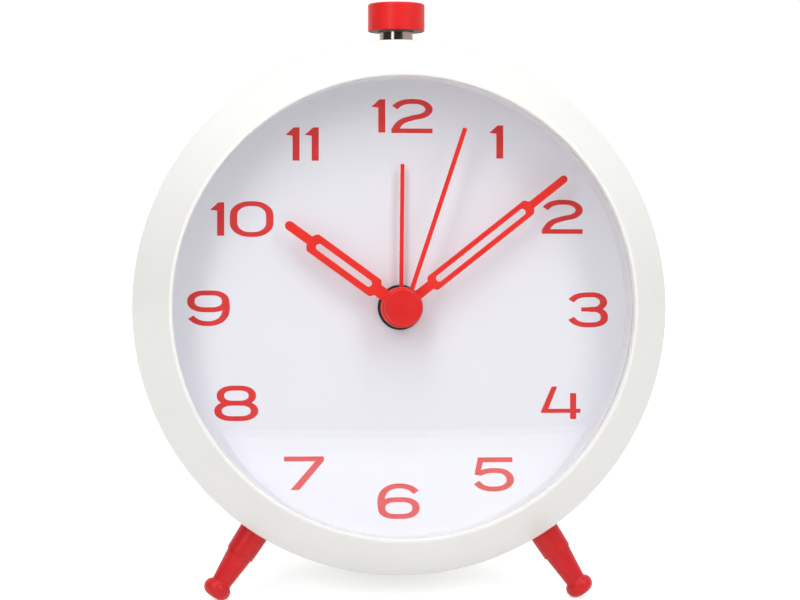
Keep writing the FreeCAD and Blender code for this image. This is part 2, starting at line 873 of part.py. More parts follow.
def make_battery_door():
    half_thickness = d.door_thickness / 2
    flat_width = d.door_width - half_thickness
    panel = block("door_panel", d.door_length, flat_width, d.door_thickness,
                  0, bay_middle + half_thickness / 2, 0)
    hinge = rod("door_hinge_edge", half_thickness, d.door_length,
                -d.door_length / 2, door_hinge_y(), half_thickness, ALONG_X)
    pins = rod("door_pins", d.door_pin_radius, d.door_length + 2 * d.door_pin_reach,
               -(d.door_length / 2 + d.door_pin_reach), door_hinge_y(), half_thickness, ALONG_X)
    ribs = [block("door_rib", d.sound_slot_length, d.rib_height * 2, 2 * d.rib_height,
                  0, bay_middle + d.door_width / 4 + step * d.sound_slot_width, -d.rib_height)
            for step in (-1, 0, 1)]
    keep(fuse("battery_door", panel, hinge, pins, *ribs))


def make_snooze_button():
    """Sprung cap on its chrome ferrule, with the plunger that reaches the switch."""
    ferrule_top = d.case_radius + d.ferrule_rise
    ferrule_foot = d.case_radius - d.ferrule_drop
    bore = d.plunger_radius + d.slide_gap
    body = new_body("ferrule_turned")
    revolve(body, "ferrule_profile_turned", [
        (bore, ferrule_foot),
        (d.ferrule_thread_radius, ferrule_foot),
        (d.ferrule_thread_radius, d.case_radius),
        (d.ferrule_radius, d.case_radius),
        (d.ferrule_radius, ferrule_top),
        (bore, ferrule_top),
    ])
    stand_up(group("button_ferrule", body))
    nut_top = chord_seat(inner_radius, d.nut_radius)
    prism = doc.addObject("Part::Prism", "nut_prism")
    prism.Polygon = 6
    bind(prism, "Circumradius", d.nut_radius)
    bind(prism, "Height", d.nut_height)
    locate(prism, 0, 0, nut_top - d.nut_height, ALONG_Z)
    nut_bore = rod("nut_bore", d.ferrule_thread_radius + d.press_gap, d.nut_height,
                   0, 0, nut_top - d.nut_height)
    stand_up(cut("ferrule_nut", prism, nut_bore))
    cap_foot = d.case_radius + d.cap_lift
    cap_head = cap_foot + d.cap_height
    ceiling = cap_head - d.cap_top
    boss_foot = ceiling - d.plunger_boss_height
    cap_bore = d.ferrule_radius + d.seat_gap + d.fit_gap
    cap = new_body("cap_turned")
    turned = revolve(cap, "cap_profile_turned", [
        (0, ceiling),
        (0, cap_head),
        (d.cap_radius, cap_head),
        (d.cap_radius, cap_foot),
        (cap_bore, cap_foot),
        (cap_bore, ceiling),
        (d.plunger_boss_radius, ceiling),
        (d.plunger_boss_radius, boss_foot),
        (d.plunger_radius + d.press_gap, boss_foot),
        (d.plunger_radius + d.press_gap, ceiling),
    ])
    round_rings(cap, "cap_rounding", turned, d.cap_round,
                [(d.cap_radius, cap_head), (d.cap_radius, cap_foot)])
    stand_up(group("button_cap", cap))
    clip_foot = ferrule_foot - d.fit_gap - d.clip_thickness
    tip = d.box_top + d.switch_height + d.actuator_rise + d.slide_gap / 2
    plunger = rod("plunger_rod", d.plunger_radius, ceiling - d.press_gap - tip, 0, 0, tip)
    groove_outer = rod("plunger_groove_outer", 2 * d.plunger_radius,
                       d.clip_thickness + d.slide_gap, 0, 0, clip_foot - d.slide_gap / 2)
    groove_inner = rod("plunger_groove_inner", d.plunger_radius - d.groove_depth,
                       d.clip_thickness + d.slide_gap, 0, 0, clip_foot - d.slide_gap / 2)
    groove = cut("plunger_groove", groove_outer, groove_inner)
    stand_up(cut("button_plunger", plunger, groove))
    clip_disc = rod("clip_disc", d.clip_radius, d.clip_thickness, 0, 0, clip_foot)
    clip_bore = rod("clip_bore", d.plunger_radius - d.groove_depth + d.press_gap,
                    d.clip_thickness, 0, 0, clip_foot)
    mouth = block("clip_mouth", d.plunger_radius, d.clip_radius, d.clip_thickness,
                  0, d.clip_radius / 2 + d.groove_depth, clip_foot)
    stand_up(cut("plunger_clip", clip_disc, clip_bore, mouth))
    make_button_spring(ferrule_top, ceiling)
    make_snooze_switch(tip)


def stand_up(thing):
    """Keeps a piece that was drawn up the Z axis and stands along the button's axis."""
    keep(thing)
    SUBPARTS[thing.Name] = (thing, FreeCAD.Placement(vector(0, 0, d.button_setback), ALONG_Y))


def make_button_spring(foot, head):
    wire = d.spring_wire_radius
    height = head - foot - 2 * wire - 2 * d.press_gap
    coil = doc.addObject("Part::Helix", "spring_coil")
    bind(coil, "Radius", d.spring_radius)
    bind(coil, "Height", height)
    bind(coil, "Pitch", height / d.spring_turns)
    bind(coil, "Placement.Base.z", foot + wire + d.press_gap)
    section = doc.addObject("Part::Circle", "spring_section")
    bind(section, "Radius", wire)
    locate(section, d.spring_radius, 0, foot + wire + d.press_gap, turn((1, 0, 0), 90))
    spring = doc.addObject("Part::Sweep", "button_spring")
    spring.Sections = [section]
    spring.Spine = (coil, [])
    spring.Solid = True
    spring.Frenet = True
    stand_up(spring)


def make_snooze_switch(tip):
    top = d.box_top + d.switch_height
    foot = top - d.actuator_sink
    housing = block("switch_housing", d.switch_side, d.switch_side, d.switch_height, 0, 0, d.box_top)
    well = rod("switch_well", d.actuator_radius + d.slide_gap, 2 * d.switch_height,
               0, 0, d.box_top + d.switch_floor)
    stand_up(cut("snooze_switch", housing, well))
    pin = rod("actuator_pin", d.actuator_radius, tip - d.slide_gap / 2 - foot, 0, 0, foot)
    stand_up(group("switch_actuator", pin))


def make_movement_base():
    """Front half of the movement box, with the threaded sleeve that carries the hands."""
    depth = dial_back - split_z
    shell = block("base_block", d.box_width, box_height, depth, 0, box_middle, split_z)
    sleeve = rod("base_sleeve", d.sleeve_radius, d.dial_thickness + d.sleeve_rise, 0, 0, dial_back)
    upper = block("base_cavity", 2 * half_inner, upper_height, plate_inner - split_z,
                  0, upper_middle, split_z)
    bay = block("base_bay", 2 * half_inner, bay_height, bay_floor - split_z, 0, bay_middle, split_z)
    pocket = block("base_pocket", 2 * half_inner, bay_height, d.bay_depth - d.box_wall,
                   0, bay_middle, bay_floor + d.box_wall)
    ears = []
    ear_back = dial_back - d.boss_length - d.ear_thickness
    ear_holes = []
    for x, y in ear_spots():
        ears.append(block("base_ear", d.ear_side + 2 * d.box_wall, d.ear_side, d.ear_thickness,
                          x - d.box_wall if float(x) > 0 else x + d.box_wall, y, ear_back))
        ear_holes.append(rod("base_ear_hole", d.small_screw_radius + d.fit_gap, d.ear_thickness,
                             x, y, ear_back))
    hollow = cut("base_hollow", fuse("base_outside", shell, sleeve, *ears), upper, bay, pocket)
    pillars = [rod("base_pillar", d.pillar_radius, plate_inner - split_z, x, y, split_z)
               for x, y in pillar_spots()]
    pin_foot = pinion_foot(2) - d.fit_gap
    pin = rod("reverser_pin", d.post_pin_radius, plate_inner - pin_foot,
              REVERSER.x, REVERSER.y, pin_foot)
    holes = [rod("base_pilot", d.small_screw_radius + d.press_gap, d.bay_depth / 2 + d.fit_gap, x, y, split_z)
             for x, y in pillar_spots()]
    bore = rod("sleeve_bore", d.alarm_tube_radius + d.tube_gap, d.case_depth, 0, 0, plate_inner)
    pivot_depth = d.front_plate - d.box_wall / 2
    for spot in (TIME_SET, ALARM_SET):
        holes.append(rod("base_setting_pivot", d.pivot_radius + d.slide_gap, pivot_depth,
                         spot.x, spot.y, plate_inner))
    holes.append(rod("base_third_pivot", d.third_radius + d.slide_gap, pivot_depth,
                     THIRD.x, THIRD.y, plate_inner))
    keep(cut("movement_base", fuse("base_filled", hollow, pin, *pillars), bore, *(holes + ear_holes)))


def pillar_spots():
    return [(d.pillar_x, d.pillar_top), (-d.pillar_x, d.pillar_top),
            (d.pillar_x, -d.pillar_bottom), (-d.pillar_x, -d.pillar_bottom)]


def make_train_plate():
    """Plate behind the wheels, clamped between the two halves of the box."""
    width = 2 * (half_inner + d.plate_lap)
    height = upper_height + 2 * d.plate_lap
    plate = block("plate_block", width, height, d.train_plate, 0, upper_middle, train_back)
    pins = []
    for spot, top in ((INTERMEDIATE, pinion_foot(5) + pinion_length + d.fit_gap),
                      (ROTOR, pinion_foot(6) + pinion_length + d.fit_gap)):
        pins.append(rod("plate_pin", d.post_pin_radius, top - train_back, spot.x, spot.y, train_back))
    holes = [rod("plate_screw_hole", d.small_screw_radius + d.fit_gap, d.train_plate, x, y, train_back)
             for x, y in pillar_spots()]
    for spot in (TIME_SET, ALARM_SET):
        holes.append(rod("plate_setting_hole", d.setting_radius + d.fit_gap, d.train_plate,
                         spot.x, spot.y, train_back))
    holes.append(rod("plate_seconds_pivot", d.seconds_radius + d.slide_gap, d.train_plate,
                     0, 0, train_back))
    holes.append(rod("plate_third_pivot", d.third_radius + d.slide_gap, d.train_plate,
                     THIRD.x, THIRD.y, train_back))
    window = block("plate_coil_window", d.bobbin_length + 2 * d.seat_gap,
                   2 * (d.flange_radius + d.seat_gap), d.train_plate, coil_x(), coil_y(), train_back)
    keep(cut("train_plate", fuse("plate_with_pins", plate, *pins), window, *holes))


def make_movement_cover():
    outside = block("cover_block", d.box_width, box_height, split_z - movement_back,
                    0, box_middle, movement_back)
    floor = movement_back + d.box_wall
    upper = block("cover_cavity", 2 * half_inner, upper_height, train_back - floor,
                  0, upper_middle, floor)
    rebate = block("cover_rebate", 2 * (half_inner + d.plate_lap + d.slide_gap),
                   upper_height + 2 * (d.plate_lap + d.slide_gap), d.train_plate,
                   0, upper_middle, train_back)
    bay = block("cover_bay", 2 * half_inner, bay_height, split_z - movement_back,
                0, bay_middle, movement_back)
    hollow = cut("cover_hollow", outside, upper, rebate, bay)
    pillars = [rod("cover_pillar", d.pillar_radius, train_back - movement_back, x, y, movement_back)
               for x, y in pillar_spots()]
    holes = [rod("cover_pillar_hole", d.small_screw_radius + d.fit_gap, train_back - movement_back,
                 x, y, movement_back) for x, y in pillar_spots()]
    for spot in (TIME_SET, ALARM_SET):
        holes.append(rod("cover_setting_hole", d.setting_radius + d.slide_gap, d.box_wall,
                         spot.x, spot.y, movement_back))
    holes.append(rod("cover_sound_hole", d.buzzer_radius / 2, d.box_wall,
                     d.buzzer_x, d.part_row, movement_back))
    keep(cut("movement_cover", fuse("cover_with_pillars", hollow, *pillars), *holes))


def coil_x():
    return ROTOR.x - d.stator_left + d.stator_length / 2


def coil_y():
    return ROTOR.y - d.stator_width / 2 + d.stator_reach - d.core_width / 2


def make_step_motor():
    """Stator with its coil, beside the magnet of the rotor."""
    bar = block("stator_bar", d.stator_length, d.stator_width, d.stator_thickness,
                coil_x(), ROTOR.y, split_z)
    lug_y = ROTOR.y - d.stator_width / 2 + d.stator_reach / 2
    lugs = [block("stator_lug", d.lug_length, d.stator_reach, d.stator_thickness,
                  coil_x() + side * (d.stator_length - d.lug_length) / 2, lug_y, split_z)
            for side in (-1, 1)]
    gap = rod("stator_hole", d.magnet_radius + d.stator_gap, d.stator_thickness,
              ROTOR.x, ROTOR.y, split_z)
    keep(cut("stator", fuse("stator_plate", bar, *lugs), gap))
    keep(group("coil_core", block("core_bar", d.stator_length, d.core_width, d.stator_thickness,
                                  coil_x(), coil_y(), stator_top)))
    middle = stator_top + d.stator_thickness / 2
    start = coil_x() - d.bobbin_length / 2
    spool = rod("bobbin_tube", d.bobbin_radius, d.bobbin_length, start, coil_y(), middle, ALONG_X)
    flanges = [rod("bobbin_flange", d.flange_radius, d.flange_thickness, x, coil_y(), middle, ALONG_X)
               for x in (start, start + d.bobbin_length - d.flange_thickness)]
    slot = block("bobbin_slot", d.stator_length, d.core_width + 2 * d.press_gap,
                 d.stator_thickness + 2 * d.press_gap, coil_x(), coil_y(), stator_top - d.press_gap)
    keep(cut("coil_bobbin", fuse("bobbin_solid", spool, *flanges), slot))
    wound = d.bobbin_length - 2 * d.flange_thickness - 2 * d.press_gap
    winding_start = start + d.flange_thickness + d.press_gap
    outside = rod("winding_outside", d.winding_radius, wound, winding_start, coil_y(), middle, ALONG_X)
    inside = rod("winding_inside", d.bobbin_radius + d.press_gap, wound, winding_start, coil_y(),
                 middle, ALONG_X)
    keep(cut("coil_winding", outside, inside))


# Shape of a wheel tooth as shares of the module and of the tooth pitch
ADDENDUM = 0.85
DEDENDUM = 1.2
TOOTH_SHARE = 0.40
FLANK_SHARE = 0.336
TIP_SHARE = 0.16


def toothed(teeth, module, foot, height, spot, phase):
    """A toothed disc, one tooth centred on the angle phase."""
    teeth = int(round(float(teeth)))
    module = float(module)
    pitch_radius = module * teeth / 2
    step = 360.0 / teeth
    profile = [(-DEDENDUM, TOOTH_SHARE), (0, TOOTH_SHARE), (ADDENDUM / 2, FLANK_SHARE),
               (ADDENDUM, TIP_SHARE)]
    corners = []
    for number in range(teeth):
        middle = phase + number * step
        rising = [(rise, -share / 2) for rise, share in profile]
        falling = [(rise, share / 2) for rise, share in reversed(profile)]
        for rise, share in rising + falling:
            corners.append(at_angle(pitch_radius + rise * module, middle + share * step))
    corners.append(corners[0])
    disc = Part.Face(Part.makePolygon(corners)).extrude(vector(0, 0, height))
    disc.translate(spot + vector(0, 0, foot))
    return disc


def shaft(radius, foot, head, spot):
    return Part.makeCylinder(float(radius), float(head) - float(foot), spot + vector(0, 0, foot))


def meshing_phase(teeth, phase, partner_teeth, spot, partner_spot):
    """Phase of the partner whose gap faces the tooth of this wheel."""
    line = math.degrees(math.atan2(partner_spot.y - spot.y, partner_spot.x - spot.x))
    own = (line - phase) / (360.0 / float(teeth))
    return line + 180 - (0.5 - own) * 360.0 / float(partner_teeth)


def keep_wheel(name, solids, bores=()):
    shape = solids[0].multiFuse(solids[1:]) if len(solids) > 1 else solids[0]
    for bore in bores:
        shape = shape.cut(bore)
    wheel = doc.addObject("Part::Feature", name)
    wheel.Shape = shape.removeSplitter()
    keep(wheel)


def make_running_train():
    """Rotor, intermediate wheel, seconds wheel, third wheel and centre wheel."""
    pin_bore = d.post_pin_radius + d.slide_gap
    rotor_foot = split_z + d.press_gap + d.slide_gap
    rotor_head = pinion_foot(6) + pinion_length
    rotor_phase = 0.0
    keep_wheel("rotor", [
        shaft(d.magnet_radius, rotor_foot, stator_top + d.fit_gap, ROTOR),
        toothed(d.pinion_teeth, d.rotor_module, stator_top, rotor_head - stator_top, ROTOR, rotor_phase),
    ], [shaft(pin_bore, rotor_foot, rotor_head, ROTOR)])
    phase = meshing_phase(d.pinion_teeth, rotor_phase, d.intermediate_teeth, ROTOR, INTERMEDIATE)
    head = pinion_foot(5) + pinion_length
    foot = split_z + d.slide_gap
    keep_wheel("intermediate_wheel", [
        shaft(d.hub_radius, foot, layer(6), INTERMEDIATE),
        toothed(d.intermediate_teeth, d.rotor_module, layer(6), d.wheel_thickness, INTERMEDIATE, phase),
        toothed(d.pinion_teeth, d.train_module, layer(6) + d.wheel_thickness,
                head - layer(6) - d.wheel_thickness, INTERMEDIATE, 0.0),
    ], [shaft(pin_bore, foot, head, INTERMEDIATE)])
    phase = meshing_phase(d.pinion_teeth, 0.0, d.seconds_teeth, INTERMEDIATE, MAIN)
    seconds_top = second_hand_foot() + d.second_cap_height - d.cap_edge
    keep_wheel("seconds_wheel", [
        shaft(d.seconds_radius, train_back + d.slide_gap, seconds_top - d.press_gap, MAIN),
        toothed(d.seconds_teeth, d.train_module, layer(5), d.wheel_thickness, MAIN, phase),
        shaft(d.seconds_hub_radius, split_z + d.slide_gap, pinion_foot(4), MAIN),
        toothed(d.pinion_teeth, d.train_module, pinion_foot(4), pinion_length, MAIN, 0.0),
    ])
    phase = meshing_phase(d.pinion_teeth, 0.0, d.third_teeth, MAIN, THIRD)
    keep_wheel("third_wheel", [
        shaft(d.third_radius, train_back + d.slide_gap, plate_inner + d.front_plate / 2, THIRD),
        toothed(d.third_teeth, d.train_module, layer(4), d.wheel_thickness, THIRD, phase),
        shaft(d.wheel_hub_radius, split_z + d.slide_gap, pinion_foot(3), THIRD),
        toothed(d.pinion_teeth, centre_module, pinion_foot(3), pinion_length, THIRD, 0.0),
        shaft(d.wheel_hub_radius, pinion_foot(3) + pinion_length, plate_inner - d.slide_gap, THIRD),
    ])
    phase = meshing_phase(d.pinion_teeth, 0.0, d.centre_teeth, THIRD, MAIN)
    clutch_bore = d.minute_tube_radius + d.slide_gap
    keep_wheel("centre_wheel", [
        toothed(d.centre_teeth, centre_module, layer(3), d.wheel_thickness, MAIN, phase),
        shaft(2 * d.wheel_hub_radius, layer(3), pinion_foot(2) - d.slide_gap, MAIN),
    ], [shaft(clutch_bore, layer(3), plate_inner, MAIN)])


def make_motion_work():
    """Cannon pinion, reverser, hour wheel, alarm wheel and the two setting arbors."""
    cannon_phase = 0.0
    cannon_foot = pinion_foot(4) + pinion_length + d.slide_gap
    tube_bore = d.seconds_radius + d.tube_gap
    minute_top = hub_foot(2) + d.hub_height
    keep_wheel("cannon_pinion", [
        toothed(d.cannon_teeth, cannon_module, pinion_foot(2), pinion_length, MAIN, cannon_phase),
        shaft(d.minute_tube_radius, cannon_foot, minute_top, MAIN),
    ], [shaft(tube_bore, cannon_foot, minute_top, MAIN)])
    wheel_phase = meshing_phase(d.cannon_teeth, cannon_phase, d.reverser_teeth, MAIN, REVERSER)
    reverser_foot = pinion_foot(2)
    reverser_head = plate_inner - d.slide_gap
    keep_wheel("reverser_wheel", [
        toothed(d.reverser_teeth, cannon_module, layer(2), d.wheel_thickness, REVERSER, wheel_phase),
        toothed(d.reverser_pinion_teeth, d.train_module, layer(2) + d.wheel_thickness,
                pinion_foot(1) + pinion_length - layer(2) - d.wheel_thickness, REVERSER, 0.0),
        shaft(d.wheel_hub_radius, reverser_foot, reverser_head, REVERSER),
    ], [shaft(d.post_pin_radius + d.slide_gap, reverser_foot, reverser_head, REVERSER)])
    phase = meshing_phase(d.reverser_pinion_teeth, 0.0, d.hour_teeth, REVERSER, MAIN)
    hour_top = hub_foot(1) + d.hub_height
    keep_wheel("hour_wheel", [
        toothed(d.hour_teeth, d.train_module, layer(1), d.wheel_thickness, MAIN, phase),
        shaft(d.hour_tube_radius, layer(1), hour_top, MAIN),
        shaft(d.alarm_tube_radius, layer(1), layer(0) - d.fit_gap, MAIN),
    ], [shaft(d.minute_tube_radius + d.tube_gap, layer(1), hour_top, MAIN)])
    alarm_top = hub_foot(0) + d.hub_height
    alarm_phase = 0.0
    keep_wheel("alarm_wheel", [
        toothed(d.alarm_teeth, d.train_module, layer(0), d.wheel_thickness, MAIN, alarm_phase),
        shaft(d.alarm_tube_radius, layer(0), alarm_top, MAIN),
        shaft(2 * d.alarm_tube_radius, layer(0), plate_inner - d.slide_gap, MAIN),
    ], [shaft(d.hour_tube_radius + d.tube_gap, layer(0), alarm_top, MAIN)])
    setting_head = plate_inner + d.front_plate / 2
    arbor_foot = -(d.knob_gap + d.knob_sink - d.slide_gap)
    phase = meshing_phase(d.reverser_teeth, wheel_phase, d.cannon_teeth, REVERSER, TIME_SET)
    keep_wheel("time_set_arbor", [
        shaft(d.setting_radius, arbor_foot, plate_inner - d.slide_gap, TIME_SET),
        toothed(d.cannon_teeth, cannon_module, pinion_foot(2), pinion_length, TIME_SET, phase),
        shaft(d.pivot_radius, pinion_foot(2), setting_head, TIME_SET),
    ])
    phase = meshing_phase(d.alarm_teeth, alarm_phase, d.alarm_setting_teeth, MAIN, ALARM_SET)
    keep_wheel("alarm_set_arbor", [
        shaft(d.setting_radius, arbor_foot, plate_inner - d.slide_gap, ALARM_SET),
        toothed(d.alarm_setting_teeth, d.train_module, layer(0), d.wheel_thickness, ALARM_SET, phase),
        shaft(d.pivot_radius, layer(0), setting_head, ALARM_SET),
    ])


def hub_foot(number):
    """Lower face of a hand's hub: 0 alarm, 1 hour, 2 minute, 3 second."""
    return dial_face + d.stack_start + number * (d.hub_height + d.hub_gap)


def second_hand_foot():
    return hub_foot(3)


def framed_hand(name, foot, tube, shank, frame_start, frame_end, frame_width, slot_width, tip_width,
                length, at):
    """Hand with a slotted frame between its shank and its tip."""
    level = foot + (d.hub_height - d.hand_thickness) / 2
    hub = rod(name + "_hub", d.hand_hub_radius, d.hub_height, 0, 0, foot)
    shank_bar = block(name + "_shank", shank, frame_start + d.frame_chamfer, d.hand_thickness,
                      0, (frame_start + d.frame_chamfer) / 2, level)
    frame = block(name + "_frame_block", frame_width, frame_end - frame_start, d.hand_thickness,
                  0, (frame_start + frame_end) / 2, level)
    doc.recompute()
    shoulders = doc.addObject("Part::Chamfer", name + "_frame")
    shoulders.Base = frame
    chamfer = float(d.frame_chamfer)
    shoulders.Edges = [(number, chamfer, chamfer) for number in upright_edges(frame.Shape)]
    tip_centre = length - tip_width / 2
    tip_bar = block(name + "_tip_bar", tip_width, tip_centre - frame_end + d.frame_chamfer,
                    d.hand_thickness, 0, (tip_centre + frame_end - d.frame_chamfer) / 2, level)
    tip = rod(name + "_tip", tip_width / 2, d.hand_thickness, 0, tip_centre, level)
    slot_start = frame_start + d.frame_border + slot_width / 2
    slot_end = frame_end - d.frame_border - slot_width / 2
    slot = block(name + "_slot", slot_width, slot_end - slot_start, d.hand_thickness,
                 0, (slot_start + slot_end) / 2, level)
    slot_rounds = [rod(name + "_slot_end", slot_width / 2, d.hand_thickness, 0, y, level)
                   for y in (slot_start, slot_end)]
    bore = rod(name + "_bore", tube + d.press_gap, d.hub_height, 0, 0, foot)
    plate = fuse(name + "_plate", hub, shank_bar, shoulders, tip_bar, tip)
    keep(cut(name, plate, bore, slot, *slot_rounds), spin=-float(at))


def upright_edges(shape):
    return [number for number, edge in enumerate(shape.Edges, start=1)
            if abs(edge.tangentAt(edge.FirstParameter).z) > 0.999]


def make_hands():
    framed_hand("hour_hand", hub_foot(1), d.hour_tube_radius, d.hour_shank, d.hour_frame_start,
                d.hour_frame_end, d.hour_frame_width, d.hour_slot_width, d.hour_tip_width,
                d.hour_length, d.hour_at)
    framed_hand("minute_hand", hub_foot(2), d.minute_tube_radius, d.minute_shank,
                d.minute_frame_start, d.minute_frame_end, d.minute_frame_width,
                d.minute_slot_width, d.minute_tip_width, d.minute_length, d.minute_at)
    level = hub_foot(0) + (d.hub_height - d.hand_thickness) / 2
    hub = rod("alarm_hub", d.hand_hub_radius, d.hub_height, 0, 0, hub_foot(0))
    bar = block("alarm_bar", d.alarm_width, d.alarm_length, d.hand_thickness,
                0, d.alarm_length / 2, level)
    bore = rod("alarm_bore", d.alarm_tube_radius + d.press_gap, d.hub_height, 0, 0, hub_foot(0))
    keep(cut("alarm_hand", fuse("alarm_plate", hub, bar), bore), spin=-float(d.alarm_at))
    foot = second_hand_foot()
    cap_top = foot + d.second_cap_height
    cap = new_body("second_cap")
    turned = revolve(cap, "second_cap_turned", [
        (d.seconds_radius + d.press_gap, foot),
        (d.second_cap_radius, foot),
        (d.second_cap_radius, cap_top),
        (0, cap_top),
        (0, cap_top - d.cap_edge),
        (d.seconds_radius + d.press_gap, cap_top - d.cap_edge),
    ])
    round_rings(cap, "second_cap_rounding", turned, d.cap_edge - d.press_gap,
                [(d.second_cap_radius, cap_top)])
    level = foot + d.hand_thickness
    bar_start = d.second_cap_radius / 2
    bar = block("second_bar", d.second_width, d.second_length - bar_start, d.hand_thickness,
                0, (d.second_length + bar_start) / 2, level)
    keep(fuse("second_hand", cap, bar), spin=-float(d.second_at))


def make_knob(name, radius, spot):
    """Setting knob with a grooved rim."""
    foot = -(d.knob_gap + d.knob_height)
    body = new_body(name)
    sink = d.knob_sink + d.knob_gap
    bore = d.setting_radius + d.press_gap
    disc = revolve(body, name + "_turned", [
        (0, foot),
        (radius - d.groove_radius, foot),
        (radius, foot + d.groove_radius),
        (radius, -d.knob_gap),
        (bore, -d.knob_gap),
        (bore, -sink),
        (0, -sink),
    ])
    sketch = body.newObject("Sketcher::SketchObject", name + "_groove_outline")
    sketch.AttachmentSupport = [(origin_plane(body, "XY_Plane"), "")]
    sketch.MapMode = "FlatFace"
    centre = FreeCAD.Vector(float(radius), 0, 0)
    circle = Part.Circle(centre, FreeCAD.Vector(0, 0, 1), float(d.groove_radius))
    sketch.addGeometry(circle, False)
    number = sketch.addConstraint(Sketcher.Constraint("Radius", 0, float(d.groove_radius)))
    sketch.setExpression("Constraints[%d]" % number, d.groove_radius.text)
    number = sketch.addConstraint(Sketcher.Constraint("DistanceX", -1, 1, 0, 3, float(radius)))
    sketch.setExpression("Constraints[%d]" % number, radius.text)
    sketch.addConstraint(Sketcher.Constraint("PointOnObject", 0, 3, -1))
    doc.recompute()
    groove = body.newObject("PartDesign::Pocket", name + "_groove")
    groove.Profile = sketch
    groove.Type = "ThroughAll"
    groove.Midplane = True
    doc.recompute()
    pattern = body.newObject("PartDesign::PolarPattern", name + "_grooves")
    pattern.Originals = [groove]
    pattern.Axis = (origin_plane(body, "Z_Axis"), [""])
    pattern.Angle = 360
    bind(pattern, "Occurrences", d.knob_grooves)
    body.Tip = pattern
    doc.recompute()
    if not disc.Shape.Volume > pattern.Shape.Volume:
        raise ValueError(name + " has no grooves")
    keep(body, spot)


def make_electronics():
    board_middle = (d.board_bottom + d.board_top) / 2
    keep(group("circuit_board", block("board_block", d.board_width, d.board_top - d.board_bottom,
                                      d.board_thickness, 0, board_middle, board_back)))
    chip_x = -(d.board_width / 2 - d.chip_side)
    chip = block("chip_block", d.chip_side, d.chip_side, d.chip_height / 2,
                 chip_x, d.part_row, board_back - d.chip_height / 2)
    blob = rod("chip_blob", d.chip_dome_radius, d.chip_height, chip_x, d.part_row,
               board_back - d.chip_height)
    keep(fuse("control_chip", chip, blob))
    can = rod("crystal_can", d.crystal_radius, d.crystal_length, -d.crystal_length,
              d.part_row, board_back - d.crystal_radius, ALONG_X)
    wires = [rod("crystal_wire", d.crystal_wire_radius, d.crystal_wire_length, 0,
                 d.part_row + side * d.crystal_radius / 2, board_back - d.crystal_radius, ALONG_X)
             for side in (-1, 1)]
    keep(fuse("quartz_crystal", can, *wires))
    drum = rod("buzzer_drum", d.buzzer_radius, d.buzzer_height, d.buzzer_x, d.part_row,
               board_back - d.buzzer_height)
    port = rod("buzzer_port", d.sound_hole_radius, d.buzzer_height / 2, d.buzzer_x, d.part_row,
               board_back - d.buzzer_height)
    keep(cut("buzzer", drum, port))


def make_cell():
    left = -(d.cell_length + d.nub_length) / 2
    can = rod("cell_can", d.cell_radius, d.cell_length, left, bay_middle, cell_z, ALONG_X)
    nub = rod("cell_nub", d.nub_radius, d.nub_length, left + d.cell_length, bay_middle, cell_z, ALONG_X)
    keep(fuse("battery_cell", can, nub))
    right = -left
    end = half_inner - d.slide_gap
    side = d.contact_side
    plate = block("positive_plate", d.contact_thickness, side, side,
                  end - d.contact_thickness / 2, bay_middle, cell_z - side / 2)
    stud = rod("positive_stud", d.nub_radius, end - d.contact_thickness - right - d.press_gap,
               right + d.press_gap, bay_middle, cell_z, ALONG_X)
    keep(fuse("positive_contact", plate, stud))
    back = block("negative_plate", d.contact_thickness, side, side,
                 -(end - d.contact_thickness / 2), bay_middle, cell_z - side / 2)
    cone = doc.addObject("Part::Cone", "negative_spring")
    bind(cone, "Radius1", d.contact_coil_radius)
    bind(cone, "Radius2", d.nub_radius)
    bind(cone, "Height", end - d.contact_thickness - right - d.press_gap)
    locate(cone, -(end - d.contact_thickness), bay_middle, cell_z, ALONG_X)
    keep(fuse("negative_contact", back, cone))


def make_alarm_switch():
    rest_x = -d.slider_travel / 2
    housing = block("alarm_switch_block", d.alarm_switch_length, d.alarm_switch_width,
                    d.alarm_switch_height, 0, d.alarm_switch_y, d.cover_thickness)
    depth = d.slider_track_depth
    track = block("alarm_switch_track", d.slider_side + d.slider_travel + 2 * d.fit_gap,
                  d.slider_side + 2 * d.fit_gap, depth, 0, d.alarm_switch_y, d.cover_thickness)
    keep(cut("alarm_switch", housing, track))
    stem = block("slider_stem", d.slider_side, d.slider_side,
                 d.cover_thickness + depth - d.fit_gap + d.slide_gap,
                 rest_x, d.alarm_switch_y, -d.slide_gap)
    tab = block("slider_tab", d.slider_tab_length, d.slider_tab_width, d.slider_tab_height,
                rest_x, d.alarm_switch_y, -(d.slide_gap + d.slider_tab_height))
    keep(fuse("alarm_slider", stem, tab))


def stand_on_floor():
    """Leans the clock back and stands it on the floor, centred on its box."""
    doc.recompute()
    for thing, own in SUBPARTS.values():
        thing.Placement = FreeCAD.Placement(FreeCAD.Vector(), STAND).multiply(own)
    doc.recompute()
    box = FreeCAD.BoundBox()
    for thing, own in SUBPARTS.values():
        box.add(thing.Shape.optimalBoundingBox())
    offset = FreeCAD.Vector(-box.Center.x, -box.Center.y, -box.ZMin)
    for thing, own in SUBPARTS.values():
        thing.Placement = FreeCAD.Placement(offset, STAND).multiply(own)
    doc.recompute()
    print("box", box.XLength, box.YLength, box.ZLength, "floor", float(floor_distance), -box.ZMin)
    return offset


def check_document():
    for thing in doc.Objects:
        if "Invalid" in thing.State or "Error" in thing.State:
            raise ValueError("%s is %s" % (thing.Name, thing.State))
    for name, (thing, own) in SUBPARTS.items():
        if thing.Shape.isNull() or not thing.Shape.isValid() or not thing.Shape.Solids:
            raise ValueError(name + " has no valid solid")


def write_parts():
    for name, (thing, own) in SUBPARTS.items():
        thing.Shape.exportStep("parts/%s.step" % name)


